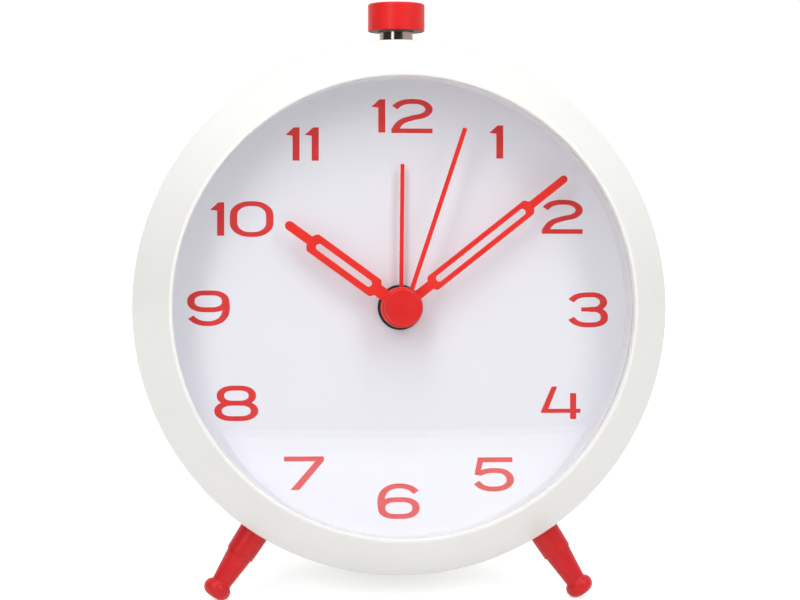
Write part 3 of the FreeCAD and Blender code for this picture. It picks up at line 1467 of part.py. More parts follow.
def print_axes(offset):
    """Prints the axes that the pieces turn and slide on, in millimetres."""
    place = FreeCAD.Placement(offset, STAND)
    spots = {"main": MAIN, "third": THIRD, "intermediate": INTERMEDIATE, "rotor": ROTOR,
             "reverser": REVERSER, "time_set": TIME_SET, "alarm_set": ALARM_SET,
             "door": vector(0, door_hinge_y(), d.door_thickness / 2),
             "button": vector(0, d.case_radius, d.button_setback),
             "rest": rest_face()}
    for name, spot in spots.items():
        print("axis", name, *["%.4f" % value for value in place.multVec(spot)])


make_case_shell()
make_front_lens()
make_dial_ring()
make_dial_plate()
make_screws()
make_leg("left_leg", -1)
make_leg("right_leg", 1)
make_rear_rest()
make_back_cover()
make_battery_door()
make_snooze_button()
make_movement_base()
make_train_plate()
make_movement_cover()
make_step_motor()
make_running_train()
make_motion_work()
make_hands()
make_knob("time_set_knob", d.time_knob_radius, TIME_SET)
make_knob("alarm_set_knob", d.alarm_knob_radius, ALARM_SET)
make_electronics()
make_cell()
make_alarm_switch()
placed = stand_on_floor()
check_document()
write_parts()
print_axes(placed)
print(len(SUBPARTS), "sub-parts")
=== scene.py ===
"""Dresses a round desk alarm clock: white drum, domed lens, red hands, red legs and button."""
import json
import math

import bmesh
import bpy
from mathutils import Matrix, Vector


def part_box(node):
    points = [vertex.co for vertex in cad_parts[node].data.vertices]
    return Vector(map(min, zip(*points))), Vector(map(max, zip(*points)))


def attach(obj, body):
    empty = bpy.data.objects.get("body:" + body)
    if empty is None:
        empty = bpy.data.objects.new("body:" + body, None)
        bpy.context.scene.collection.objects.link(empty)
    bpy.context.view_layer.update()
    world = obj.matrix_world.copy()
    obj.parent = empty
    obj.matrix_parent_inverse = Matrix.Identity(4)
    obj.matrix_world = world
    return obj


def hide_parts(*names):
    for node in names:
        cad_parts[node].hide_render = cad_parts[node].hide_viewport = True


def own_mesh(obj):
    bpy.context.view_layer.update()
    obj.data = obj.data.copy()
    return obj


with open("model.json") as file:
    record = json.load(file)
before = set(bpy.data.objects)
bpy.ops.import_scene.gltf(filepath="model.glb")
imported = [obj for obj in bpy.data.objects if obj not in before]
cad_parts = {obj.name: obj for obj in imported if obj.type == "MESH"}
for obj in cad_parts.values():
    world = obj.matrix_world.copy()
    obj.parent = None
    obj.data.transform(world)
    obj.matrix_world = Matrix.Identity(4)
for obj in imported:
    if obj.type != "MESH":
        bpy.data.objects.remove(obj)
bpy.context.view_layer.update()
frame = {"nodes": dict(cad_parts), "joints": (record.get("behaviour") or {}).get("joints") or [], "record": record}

SCENE = bpy.context.scene
MM = 0.001

# The dial's own frame: X right, Y up the dial, Z out towards the viewer, in millimetres
SECONDS = next(joint for joint in frame["joints"] if joint["name"] == "second_turn")
FORWARD = Vector(SECONDS["axis"]).normalized()
ACROSS = Vector((1, 0, 0))
UP = FORWARD.cross(ACROSS).normalized()
DIAL = Matrix.Translation(SECONDS["pos_m"]) @ Matrix((ACROSS, UP, FORWARD)).transposed().to_4x4()
DIAL_MM = DIAL @ Matrix.Scale(MM, 4)


def dial_point(x, y, z):
    return DIAL_MM @ Vector((x, y, z))


# Camera
CAMERA_SIDE = -5.3
CAMERA_REACH = 560
SILHOUETTE_Z = 33.5
AIM_ASIDE = -0.26
AIM_RISE = 1.45
FOCAL_LENGTH = 128.8


def place_camera():
    data = bpy.data.cameras.new("photo_camera")
    data.lens = FOCAL_LENGTH
    data.sensor_width = 36
    data.sensor_fit = "HORIZONTAL"
    data.clip_start = 0.02
    camera = bpy.data.objects.new("photo_camera", data)
    SCENE.collection.objects.link(camera)
    side = math.radians(CAMERA_SIDE)
    spot = dial_point(CAMERA_REACH * math.sin(side), 0, SILHOUETTE_Z + CAMERA_REACH * math.cos(side))
    back = (spot - dial_point(AIM_ASIDE, AIM_RISE, SILHOUETTE_Z)).normalized()
    right = UP.cross(back).normalized()
    turn = Matrix((right, back.cross(right), back)).transposed().to_4x4()
    camera.matrix_world = Matrix.Translation(spot) @ turn
    SCENE.camera = camera


place_camera()


# Shader nodes
class Wire:
    """A value on its way between shader nodes; arithmetic on it adds Math nodes."""

    def __init__(self, finish, socket):
        self.finish = finish
        self.socket = socket

    def maths(self, operation, *values):
        return self.finish.node("ShaderNodeMath", {"operation": operation}, *values)

    def __add__(self, other):
        return self.maths("ADD", self, other)

    def __radd__(self, other):
        return self.maths("ADD", other, self)

    def __sub__(self, other):
        return self.maths("SUBTRACT", self, other)

    def __rsub__(self, other):
        return self.maths("SUBTRACT", other, self)

    def __mul__(self, other):
        return self.maths("MULTIPLY", self, other)

    def __rmul__(self, other):
        return self.maths("MULTIPLY", other, self)

    def __truediv__(self, other):
        return self.maths("DIVIDE", self, other)

    def __pow__(self, other):
        return self.maths("POWER", self, other)

    def __gt__(self, other):
        return self.maths("GREATER_THAN", self, other)

    def __lt__(self, other):
        return self.maths("LESS_THAN", self, other)


class Finish:
    """A procedural material built round one Principled BSDF."""

    def __init__(self, name, tree=None, **constants):
        if tree is None:
            self.material = bpy.data.materials.new(name)
            self.material.use_nodes = True
            tree = self.material.node_tree
        self.tree = tree
        self.shader = tree.nodes.get("Principled BSDF")
        for word, value in constants.items():
            self.shader.inputs[word.replace("_", " ")].default_value = value

    def node(self, kind, settings=None, *values, output=None, **named):
        """Adds one node: settings first, then values or wires for its sockets, in order or by name."""
        node = self.tree.nodes.new(kind)
        for word, value in (settings or {}).items():
            if word == "stops":
                ramp = node.color_ramp
                while len(ramp.elements) < len(value):
                    ramp.elements.new(0.5)
                for element, (place, colour) in zip(ramp.elements, value):
                    element.position = place
                    element.color = (*colour, 1)
            else:
                setattr(node, word, value)
        live = [socket for socket in node.inputs if socket.enabled and not socket.is_unavailable]
        pairs = list(zip(live, values))
        pairs += [(node.inputs[word.replace("_", " ")], value) for word, value in named.items()]
        for socket, value in pairs:
            self.plug(socket, value)
        if output:
            return Wire(self, node.outputs[output])
        outputs = [socket for socket in node.outputs if socket.enabled and not socket.is_unavailable]
        return Wire(self, outputs[0]) if outputs else None

    def plug(self, socket, value):
        if isinstance(value, Wire):
            self.tree.links.new(value.socket, socket)
        elif isinstance(value, tuple) and len(value) == 3 and socket.type == "RGBA":
            socket.default_value = (*value, 1)
        elif value is not None:
            socket.default_value = value

    def place(self, scale=(1, 1, 1), turn=(0, 0, 0)):
        """Object coordinates, in metres, stretched by scale."""
        spot = self.node("ShaderNodeTexCoord", output="Object")
        return self.node("ShaderNodeMapping", None, Vector=spot, Scale=scale, Rotation=turn)

    def noise(self, scale, detail=3, stretch=(1, 1, 1), turn=(0, 0, 0), roughness=0.55):
        return self.node("ShaderNodeTexNoise", None, Vector=self.place(stretch, turn), Scale=scale,
                         Detail=detail, Roughness=roughness)

    def cells(self, scale, stretch=(1, 1, 1)):
        return self.node("ShaderNodeTexVoronoi", None, Vector=self.place(stretch), Scale=scale)

    def fit(self, value, low, high):
        """Spreads the middle of a noise over low to high."""
        return self.node("ShaderNodeMapRange", None, value, 0.3, 0.7, low, high)

    def blend(self, factor, first, second):
        return self.node("ShaderNodeMix", {"data_type": "RGBA"}, factor, first, second)

    def feed(self, **sockets):
        for word, value in sockets.items():
            self.plug(self.shader.inputs[word.replace("_", " ")], value)

    def bump(self, height, depth):
        """Relief of the given depth in millimetres."""
        self.feed(Normal=self.node("ShaderNodeBump", None, Strength=1.0, Distance=depth * MM, Height=height))


def painted(name, colour, shade, gloss=0.3, peel=0.004, coat=0.3, coat_gloss=0.12, patch=45, shine=0.5):
    """Sprayed paint: slow drift of tone, orange peel and uneven gloss."""
    finish = Finish(name, Coat_Weight=coat, Coat_Roughness=coat_gloss, Specular_IOR_Level=shine)
    drift = finish.fit(finish.noise(patch, 3), 0, 1)
    finish.feed(Base_Color=finish.blend(drift, colour, shade),
                Roughness=finish.fit(finish.noise(260, 2), gloss - 0.04, gloss + 0.06))
    finish.bump(finish.noise(900, 2) + 0.5 * finish.noise(2400, 1), peel)
    return finish.material


def moulded(name, colour, shade, gloss=0.5, grain=0.006, grain_scale=3200, patch=60):
    """Moulded plastic: faint flow marks and a fine eroded grain."""
    finish = Finish(name)
    drift = finish.fit(finish.noise(patch, 4), 0, 1)
    speck = finish.noise(grain_scale, 2)
    finish.feed(Base_Color=finish.blend(drift, colour, shade),
                Roughness=finish.fit(speck, gloss - 0.07, gloss + 0.08))
    finish.bump(speck, grain)
    return finish.material


def worked_metal(name, colour, shade, gloss=0.25, lay=(1, 1, 30), scratch=0.002):
    """Metal with the fine lines of turning or drawing."""
    finish = Finish(name, Metallic=1.0)
    lines = finish.noise(1400, 3, stretch=lay)
    finish.feed(Base_Color=finish.blend(finish.fit(finish.noise(300, 3), 0, 1), colour, shade),
                Roughness=finish.fit(lines, gloss - 0.06, gloss + 0.1))
    finish.bump(lines, scratch)
    return finish.material


def printed_dial():
    finish = Finish("dial_white")
    drift = finish.fit(finish.noise(18, 3), 0, 1)
    fleck = finish.noise(2600, 2)
    finish.feed(Base_Color=finish.blend(drift, (0.815, 0.815, 0.875), (0.835, 0.835, 0.885)),
                Roughness=finish.fit(fleck, 0.5, 0.62))
    finish.bump(fleck, 0.002)
    return finish.material


def printed_ink():
    finish = Finish("red_ink")
    drift = finish.fit(finish.noise(420, 3), 0, 1)
    finish.feed(Base_Color=finish.blend(drift, (0.70, 0.022, 0.02), (0.77, 0.032, 0.028)),
                Roughness=finish.fit(finish.noise(1800, 2), 0.38, 0.5))
    finish.bump(finish.noise(3000, 2), 0.003)
    return finish.material


def clear_lens():
    """Thin clear dome: it mirrors what its alpha lets it, and shows the dial through the rest."""
    finish = Finish("clear_lens", Metallic=1.0, Base_Color=(0.96, 0.98, 1.0, 1), Roughness=0.03)
    glance = finish.node("ShaderNodeLayerWeight", None, 0.5, output="Facing")
    finish.feed(Alpha=glance ** 4 * 0.5 + finish.fit(finish.noise(160, 3), 0.034, 0.038))
    return finish.material


def wound_copper():
    finish = Finish("copper_winding", Metallic=1.0)
    turns = finish.node("ShaderNodeTexWave", {"bands_direction": "X"}, Vector=finish.place(), Scale=1600.0,
                        Distortion=0.6, Detail=1.0, output="Fac")
    finish.feed(Base_Color=finish.blend(turns, (0.32, 0.09, 0.035), (0.72, 0.28, 0.13)), Roughness=0.34)
    finish.bump(turns, 0.05)
    return finish.material


def circuit_board():
    """Phenolic board with a rough grid of copper tracks under green resist."""
    finish = Finish("circuit_board", Coat_Weight=0.4)
    tracks = finish.node("ShaderNodeTexBrick", None, Vector=finish.place((1, 1, 1), (math.radians(90), 0, 0)),
                         Color1=(0.02, 0.11, 0.06), Color2=(0.025, 0.14, 0.07), Mortar=(0.10, 0.22, 0.09),
                         Scale=230.0, Mortar_Size=0.08)
    finish.feed(Base_Color=tracks, Roughness=finish.fit(finish.noise(800, 2), 0.35, 0.5))
    finish.bump(finish.noise(1200, 2), 0.01)
    return finish.material


def cell_wrap():
    """Shrink wrap of a plain cell: dark body, copper end band, bare steel at the poles."""
    finish = Finish("cell_wrap", Coat_Weight=0.5)
    along = finish.node("ShaderNodeSeparateXYZ", None, finish.place())
    band = along > 0.0105
    pole = (along > 0.0236) + (along < -0.0242)
    body = finish.blend(band, (0.02, 0.022, 0.026), (0.55, 0.22, 0.08))
    finish.feed(Base_Color=finish.blend(pole, body, (0.6, 0.6, 0.6)), Metallic=pole * 0.9 + band * 0.5,
                Roughness=finish.fit(finish.noise(300, 3), 0.22, 0.32))
    finish.bump(finish.noise(500, 3), 0.02)
    return finish.material


FINISHES = {
    "case_paint": painted("case_paint", (0.80, 0.795, 0.765), (0.825, 0.82, 0.795), gloss=0.34),
    "lens": clear_lens(),
    "dial_ring_plastic": moulded("dial_ring_plastic", (0.78, 0.785, 0.81), (0.81, 0.81, 0.83), gloss=0.42),
    "dial_white": printed_dial(),
    "cover_plastic": moulded("cover_plastic", (0.76, 0.755, 0.73), (0.79, 0.785, 0.76), grain=0.02,
                             grain_scale=2200),
    "red_lacquer": painted("red_lacquer", (0.56, 0.008, 0.011), (0.64, 0.013, 0.016), gloss=0.42, peel=0.01,
                           coat=0.1, coat_gloss=0.25, patch=220, shine=0.25),
    "red_cap": painted("red_cap", (0.70, 0.014, 0.013), (0.76, 0.020, 0.019), gloss=0.36, peel=0.003, coat=0.06,
                       coat_gloss=0.24, patch=160, shine=0.22),
    # The chrome's colour is darkened and browned to stand in for the dark, brownish surroundings it mirrors:
    # painted reflection
    "chrome": worked_metal("chrome", (0.33, 0.26, 0.23), (0.40, 0.32, 0.29), gloss=0.12,
                           lay=(1, 1, 24), scratch=0.001),
    "steel": worked_metal("zinc_steel", (0.56, 0.56, 0.55), (0.68, 0.67, 0.64), gloss=0.32),
    "spring_steel": worked_metal("spring_steel", (0.42, 0.42, 0.42), (0.52, 0.52, 0.51), gloss=0.26),
    "rubber": moulded("black_rubber", (0.018, 0.018, 0.018), (0.03, 0.03, 0.029), gloss=0.75, grain=0.03,
                      grain_scale=1500),
    "black_plastic": moulded("black_plastic", (0.012, 0.012, 0.013), (0.02, 0.02, 0.021), gloss=0.42,
                             grain=0.01, grain_scale=2600),
    "red_hand": painted("red_hand", (0.80, 0.018, 0.010), (0.85, 0.026, 0.015), gloss=0.44, peel=0.002,
                        coat=0.05, patch=180, shine=0.3),
    "red_ink": printed_ink(),
    "movement_plastic": moulded("movement_plastic", (0.014, 0.014, 0.015), (0.024, 0.024, 0.026), gloss=0.5),
    "plate_plastic": moulded("plate_plastic", (0.55, 0.54, 0.5), (0.6, 0.59, 0.55)),
    "wheel_plastic": moulded("wheel_plastic", (0.72, 0.70, 0.62), (0.78, 0.76, 0.68), gloss=0.36),
    "brass": worked_metal("brass", (0.62, 0.44, 0.17), (0.72, 0.53, 0.24), gloss=0.24),
    "copper": wound_copper(),
    "magnet": moulded("ferrite_magnet", (0.03, 0.03, 0.034), (0.055, 0.055, 0.06), gloss=0.5, grain=0.02),
    "board": circuit_board(),
    "cell_wrap": cell_wrap(),
}
SLOT_OF = {part["node"]: part["material_slot"] for part in frame["record"]["subparts"]}


# Modelling, in the dial's millimetres
def curl(radius, height, bend, start, end, steps):
    """Corners of an arc in a turned outline; angles in degrees from the radius towards the height."""
    spots = []
    for step in range(steps + 1):
        angle = math.radians(start + (end - start) * step / steps)
        spots.append((radius + bend * math.cos(angle), height + bend * math.sin(angle), 0))
    return spots


def turned(corners, steps=160):
    """Spins a closed outline of (radius, height, rounding) corners about the local Z axis."""
    bm = bmesh.new()
    verts = [bm.verts.new((radius, 0, height)) for radius, height, _ in corners]
    pairs = list(zip(verts, verts[1:] + verts[:1]))
    edges = [bm.edges.new(pair) for pair in pairs if pair[0].co.x > 0 or pair[1].co.x > 0]
    bmesh.ops.spin(bm, geom=verts + edges, cent=(0, 0, 0), axis=(0, 0, 1), angle=math.tau, steps=steps,
                   use_merge=True)
    bmesh.ops.remove_doubles(bm, verts=bm.verts, dist=1e-5)
    for radius, height, rounding in corners:
        if rounding:
            ring = [edge for edge in bm.edges if all(
                abs(math.hypot(v.co.x, v.co.y) - radius) < 1e-3 and abs(v.co.z - height) < 1e-3
                for v in edge.verts)]
            round_edges(bm, ring, rounding)
    bmesh.ops.recalc_face_normals(bm, faces=bm.faces)
    return bm


def round_edges(bm, edges, size, segments=4):
    bmesh.ops.bevel(bm, geom=edges, offset=size, offset_type="OFFSET", segments=segments, profile=0.5,
                    affect="EDGES", clamp_overlap=True, material=-1)


def drop_in(bm, other, place=None):
    """Adds another mesh to bm."""
    if place is not None:
        other.transform(place)
    spare = bpy.data.meshes.new("spare")
    other.to_mesh(spare)
    other.free()
    bm.from_mesh(spare)
    bpy.data.meshes.remove(spare)
    return bm


def rod(radius, foot, head, x=0, y=0, steps=40, rounding=0):
    """Upright cylinder with softened ends."""
    bm = bmesh.new()
    place = Matrix.Translation((x, y, (foot + head) / 2))
    bmesh.ops.create_cone(bm, cap_ends=True, segments=steps, radius1=radius, radius2=radius,
                          depth=head - foot, matrix=place)
    if rounding:
        rims = [edge for edge in bm.edges if abs(edge.verts[0].co.z - edge.verts[1].co.z) < 1e-6]
        round_edges(bm, rims, rounding, 3)
    return bm


def filleted(points, radius):
    """Closed outline with its corners turned into arcs."""
    spots = []
    for index, corner in enumerate(points):
        corner = Vector(corner)
        before = (Vector(points[index - 1]) - corner)
        after = (Vector(points[(index + 1) % len(points)]) - corner)
        opening = before.angle(after)
        reach = min(radius / math.tan(opening / 2), before.length * 0.49, after.length * 0.49)
        first = corner + before.normalized() * reach
        last = corner + after.normalized() * reach
        for step in range(6):
            share = step / 5
            spots.append(tuple(first.lerp(corner, share).lerp(corner.lerp(last, share), share)))
    return spots


def sheet(outlines, thickness, softness, foot=0):
    """Flat plate cut from outlines, the later ones being holes, with softened edges."""
    data = bpy.data.curves.new("cut_outline", "CURVE")
    data.dimensions = "2D"
    data.fill_mode = "BOTH"
    data.extrude = thickness / 2 - softness
    data.bevel_depth = softness
    data.bevel_resolution = 2
    data.offset = -softness
    for outline in outlines:
        spline = data.splines.new("POLY")
        spline.points.add(len(outline) - 1)
        for point, (x, y) in zip(spline.points, outline):
            point.co = (x, y, 0, 1)
        spline.use_cyclic_u = True
    bm = bmesh_of(data)
    bmesh.ops.translate(bm, verts=bm.verts, vec=(0, 0, foot + thickness / 2))
    return bm


def bmesh_of(data):
    """Mesh of a curve, merged along its seams."""
    thing = bpy.data.objects.new("outline", data)
    SCENE.collection.objects.link(thing)
    bpy.context.view_layer.update()
    mesh = bpy.data.meshes.new_from_object(thing.evaluated_get(bpy.context.evaluated_depsgraph_get()))
    bpy.data.objects.remove(thing)
    bpy.data.curves.remove(data)
    bm = bmesh.new()
    bm.from_mesh(mesh)
    bpy.data.meshes.remove(mesh)
    bmesh.ops.remove_doubles(bm, verts=bm.verts, dist=1e-5)
    bmesh.ops.recalc_face_normals(bm, faces=bm.faces)
    return bm


def piece(name, body, bm, finish, nodes=(), place=None, sharp=40):
    """Finishes a mesh as one piece of the clock, riding on a body."""
    if place is not None:
        bm.transform(place)
    bm.transform(DIAL_MM)
    mesh = bpy.data.meshes.new(name)
    bm.to_mesh(mesh)
    bm.free()
    mesh.shade_smooth()
    mesh.set_sharp_from_angle(angle=math.radians(sharp))
    thing = bpy.data.objects.new(name, mesh)
    SCENE.collection.objects.link(thing)
    mesh.materials.append(FINISHES[finish])
    lean = thing.modifiers.new("even_shading", "WEIGHTED_NORMAL")
    lean.keep_sharp = True
    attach(thing, body)
    if nodes:
        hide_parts(*nodes)
    return thing


def bored(thing, tools):
    """Cuts rods out of a finished piece."""
    for bm in tools:
        bm.transform(DIAL_MM)
        mesh = bpy.data.meshes.new("tool")
        bm.to_mesh(mesh)
        bm.free()
        tool = bpy.data.objects.new("tool", mesh)
        SCENE.collection.objects.link(tool)
        hole = thing.modifiers.new("hole", "BOOLEAN")
        hole.operation = "DIFFERENCE"
        hole.solver = "EXACT"
        hole.object = tool
        thing.modifiers.move(len(thing.modifiers) - 1, 0)
        bpy.context.view_layer.update()
        with bpy.context.temp_override(object=thing, active_object=thing):
            bpy.ops.object.modifier_apply(modifier="hole")
        bpy.data.objects.remove(tool)


# Sizes of the clock
CASE_RADIUS = 52.5
CASE_DEPTH = 42
CASE_WALL = 0.8
LIP_RADIUS = 44.8
LIP_OUTER = 45.45
SHOULDER_Z = 33.5
COVER_Z = 2
LENS_FRONT = 39.4
LENS_BACK = 38.1
LENS_RADIUS = 46.66
DIAL_FACE = 31
DIAL_BACK = 30
DIAL_RADIUS = 46.9
POST_CIRCLE = 46.65
POST_ANGLES = (45, 135, 200, 340)
BUTTON = Matrix.Translation((0, 0, 22.5)) @ Matrix.Rotation(math.radians(-90), 4, "X")
LEG_Z = 29
LEG_ANGLE = 33
REST_Z = 5.1


def leg_place(side):
    return (Matrix.Translation((0, 0, LEG_Z)) @ Matrix.Rotation(math.radians(side * LEG_ANGLE), 4, "Z")
            @ Matrix.Rotation(math.radians(90), 4, "X"))


def make_case():
    inner = CASE_RADIUS - CASE_WALL
    shell = piece("case_shell_painted", "clock_case", turned([
        (CASE_RADIUS, COVER_Z, 0.15),
        (CASE_RADIUS, SHOULDER_Z, 0.5),
        (LIP_OUTER, CASE_DEPTH, 0.25),
        (LIP_RADIUS, CASE_DEPTH, 0.22),
        (LIP_RADIUS, LENS_FRONT, 0),
        (LIP_RADIUS + CASE_WALL, LENS_FRONT, 0),
        (LIP_RADIUS + CASE_WALL, 40.6, 0),
        (inner, 33.1, 0),
        (inner, COVER_Z, 0),
    ], steps=192), "case_paint", ["case_shell"], sharp=50)
    long_rod = 60
    holes = [rod(2.65, 0, long_rod), rod(2.05, 0, long_rod)]
    holes[0].transform(BUTTON)
    holes[1].transform(Matrix.Translation((0, 0, REST_Z)) @ Matrix.Rotation(math.radians(90), 4, "X"))
    for side in (-1, 1):
        hole = rod(1.55, 0, long_rod)
        hole.transform(leg_place(side))
        holes.append(hole)
    bored(shell, holes)


def make_lens():
    dome_radius = 44.4
    rise = 2.5
    inner_rise = 2.3
    outer = (dome_radius ** 2 + rise ** 2) / (2 * rise)
    inner = (dome_radius ** 2 + inner_rise ** 2) / (2 * inner_rise)
    reach = math.degrees(math.asin(dome_radius / outer))
    inner_reach = math.degrees(math.asin(dome_radius / inner))
    crown = LENS_FRONT + rise
    top = curl(0, crown - outer, outer, 90, 90 - reach, 24)
    under = curl(0, crown - 1.5 - inner, inner, 90 - inner_reach, 90, 24)
    top[0] = (0, crown, 0)
    under[-1] = (0, crown - 1.5, 0)
    rim = [(LENS_RADIUS, LENS_FRONT, 0), (LENS_RADIUS, LENS_BACK, 0)]
    piece("front_lens_clear", "clock_case", turned(top + rim + under), "lens", ["front_lens"])


def make_dial():
    ring = turned([
        (LIP_RADIUS, DIAL_FACE, 0),
        (LIP_RADIUS, LENS_BACK, 0.15),
        (46.3, LENS_BACK, 0),
        (46.3, 32.9, 0),
        (51.45, 32.9, 0),
        (51.45, DIAL_BACK, 0),
        (DIAL_RADIUS + 0.15, DIAL_BACK, 0),
        (DIAL_RADIUS + 0.15, DIAL_FACE, 0),
    ])
    for angle in POST_ANGLES:
        spot = Matrix.Rotation(math.radians(angle), 3, "Z") @ Vector((POST_CIRCLE, 0, 0))
        drop_in(ring, rod(3, COVER_Z, DIAL_BACK, spot.x, spot.y))
    ring_piece = piece("dial_ring_wall", "clock_case", ring, "dial_ring_plastic", ["dial_ring"])
    notches = []
    for side in (-1, 1):
        notch = rod(3.1, 46.3, 54)
        notch.transform(leg_place(side))
        notches.append(notch)
    bored(ring_piece, notches)
    plate = turned([
        (4.4, DIAL_BACK, 0),
        (DIAL_RADIUS, DIAL_BACK, 0),
        (DIAL_RADIUS, DIAL_FACE, 0.1),
        (4.4, DIAL_FACE, 0.1),
    ])
    for x in (-31.5, 31.5):
        for y in (-16, 16):
            drop_in(plate, rod(2.5, DIAL_BACK - 3.6, DIAL_BACK, x, y))
    piece("dial_face", "clock_case", plate, "dial_white", ["dial_plate"])


# Numerals, drawn on a grid of 0.198 mm, Y down, with a pen that is broad across and thin upright
GRID = 0.198
PEN_ACROSS = 7.4
PEN_LEVEL = 4.85
FIGURE_GAP = 5.7
INK = 0.03
NUMERAL_SPOTS = {
    1: (19.1, 32.62), 2: (32.14, 17.9), 3: (37.3, -0.48), 4: (31.86, -18.84), 5: (18.5, -32.9),
    6: (-0.28, -38.06), 7: (-18.92, -32.48), 8: (-32.14, -18.76), 9: (-37.62, -0.18), 10: (-31.05, 17.28),
    11: (-19.22, 32.02), 12: (0.42, 37.62),
}


def loop(x, y, half_width, half_height, square=0.76):
    """Closed squarish ring of eight points."""
    near = square * half_width
    high = square * half_height
    return [(x, y - half_height), (x + near, y - high), (x + half_width, y), (x + near, y + high),
            (x, y + half_height), (x - near, y + high), (x - half_width, y), (x - near, y - high)]


NINE_TAIL = [(37.6, 11.0), (38.0, 18.6), (35.2, 26.4), (28.6, 31.1), (19.8, 32.5), (9.8, 30.7), (2.9, 26.2)]
# Each figure: width, height, closed loops, open strokes, filled plates
FIGURES = {
    "0": (42.8, 35.0, [loop(21.4, 17.5, 17.9, 15.3)], [], []),
    "1": (13.3, 33.0, [], [], [[(0, 6.4), (1.3, 5.9), (7.0, 0.5), (8.6, 0), (13.3, 0), (13.3, 33), (6.3, 33),
                               (6.3, 8.3), (0, 7.6)]]),
    "2": (41.4, 33.9, [], [[(3.6, 8.6), (10.2, 4.1), (21.4, 2.4), (32.4, 4.2), (37.8, 10.2), (33.6, 15.6),
                            (21.8, 18.7), (10.6, 22.6), (3.9, 30.2)]],
          [[(0.3, 29.3), (41.4, 29.3), (41.4, 33.9), (0.3, 33.9)]]),
    "3": (39.8, 34.6, [], [
        [(2.7, 8.2), (8.9, 4.0), (20.0, 2.3), (30.6, 3.5), (35.5, 9.2), (32.4, 14.8), (26.0, 16.9), (21.0, 16.9)],
        [(21.0, 16.9), (26.6, 16.9), (33.4, 19.1), (36.4, 25.2), (33.6, 30.0), (20.2, 32.3), (9.2, 30.6),
         (2.7, 25.8)]],
          [[(13, 14.9), (27, 14.6), (27, 19.2), (13, 18.9)]]),
    "4": (39.7, 32.5, [], [], [[(10.7, 0), (16.3, 0), (7.4, 22.2), (39.7, 22.2), (39.7, 26.3), (0, 26.3),
                               (0, 24.4)],
                              [(29.2, 6.7), (35.4, 6.7), (35.4, 32.5), (29.2, 32.5)]]),
    "5": (40.4, 33.8, [], [[(4.9, 16.3), (11.6, 14.1), (21.5, 13.1), (31.4, 14.9), (36.9, 21.8), (32.6, 28.9),
                            (20.3, 31.5), (9.6, 29.7), (2.9, 24.9)]],
          [[(4.4, 0), (39.0, 0), (39.0, 4.8), (9.4, 4.8), (7.2, 14.4), (6.0, 18.0), (1.0, 17.0)]]),
    "6": (41.0, 34.8, [[(41.0 - x, 34.8 - y) for x, y in loop(20.4, 10.5, 17.1, 8.3)]],
          [[(41.0 - x, 34.8 - y) for x, y in NINE_TAIL]], []),
    "7": (39.6, 33.1, [], [], [[(0, 0), (39.6, 0), (39.6, 4.3), (15.2, 33.1), (6.5, 33.1), (31.0, 4.8), (0, 4.8)]]),
    "8": (42.9, 34.5, [loop(21.4, 9.6, 15.7, 7.4), loop(21.3, 24.7, 18.0, 7.6)], [], []),
    "9": (41.0, 34.8, [loop(20.4, 10.5, 17.1, 8.3)], [NINE_TAIL], []),
}


def pen_stroke(points, closed):
    """Ribbon of ink along a smooth path."""
    squeeze = PEN_LEVEL / PEN_ACROSS
    data = bpy.data.curves.new("ink_stroke", "CURVE")
    data.dimensions = "3D"
    data.twist_mode = "Z_UP"
    data.resolution_u = 10
    data.extrude = PEN_LEVEL / 2 - INK / GRID / 4
    data.bevel_depth = INK / GRID / 4
    data.bevel_resolution = 0
    data.use_fill_caps = True
    spline = data.splines.new("BEZIER")
    spline.bezier_points.add(len(points) - 1)
    for point, (x, y) in zip(spline.bezier_points, points):
        point.co = (x * squeeze, -y, 0)
        point.handle_left_type = "AUTO"
        point.handle_right_type = "AUTO"
        point.tilt = math.pi / 2
    spline.use_cyclic_u = closed
    bm = bmesh_of(data)
    bmesh.ops.scale(bm, vec=(1 / squeeze, 1, 1), verts=bm.verts)
    return bm


def make_numerals():
    bm = bmesh.new()
    layer = 0
    for hour, (x, y) in NUMERAL_SPOTS.items():
        figures = str(hour)
        width = sum(FIGURES[figure][0] for figure in figures) + FIGURE_GAP * (len(figures) - 1)
        left = -width / 2
        for figure in figures:
            own_width, height, loops, strokes, plates = FIGURES[figure]
            parts = [pen_stroke(points, True) for points in loops]
            parts += [pen_stroke(points, False) for points in strokes]
            parts += [sheet([[(x, -y) for x, y in reversed(plate)]], INK / GRID, INK / GRID / 4,
                            -INK / GRID / 2) for plate in plates]
            for part in parts:
                layer = (layer + 1) % 4
                place = (Matrix.Translation((x, y, DIAL_FACE + 0.002 * layer)) @ Matrix.Scale(GRID, 4)
                         @ Matrix.Translation((left, height / 2, 0)))
                drop_in(bm, part, place)
            left += own_width + FIGURE_GAP
    piece("dial_numerals", "clock_case", bm, "red_ink")


# Hands
HUB_RADIUS = 4
HUB_HEIGHT = 1.25
HAND_THICKNESS = 0.45
HUB_FEET = {"alarm": 32.25, "hour": 33.75, "minute": 35.25, "second": 36.75}
TUBES = {"alarm": 2.22, "hour": 1.62, "minute": 0.97, "second": 0.42}
AT = {"alarm": 0.6, "hour": -54.04, "minute": 51.67, "second": 18.4}
SECOND_ASIDE = 0.5
FRAME_BORDER = 1.4
SHOULDER = 0.5


def hub(which):
    foot = HUB_FEET[which]
    return turned([(TUBES[which], foot, 0), (HUB_RADIUS, foot, 0.12), (HUB_RADIUS, foot + HUB_HEIGHT, 0.2),
                   (TUBES[which], foot + HUB_HEIGHT, 0)], steps=96)


def stadium(width, start, end, steps=12):
    """Upright slot outline with round ends."""
    half = width / 2
    spots = []
    for centre, first in ((end - half, 0), (start + half, 180)):
        for step in range(steps + 1):
            angle = math.radians(first + 180 * step / steps)
            spots.append((half * math.cos(angle), centre + half * math.sin(angle)))
    return spots


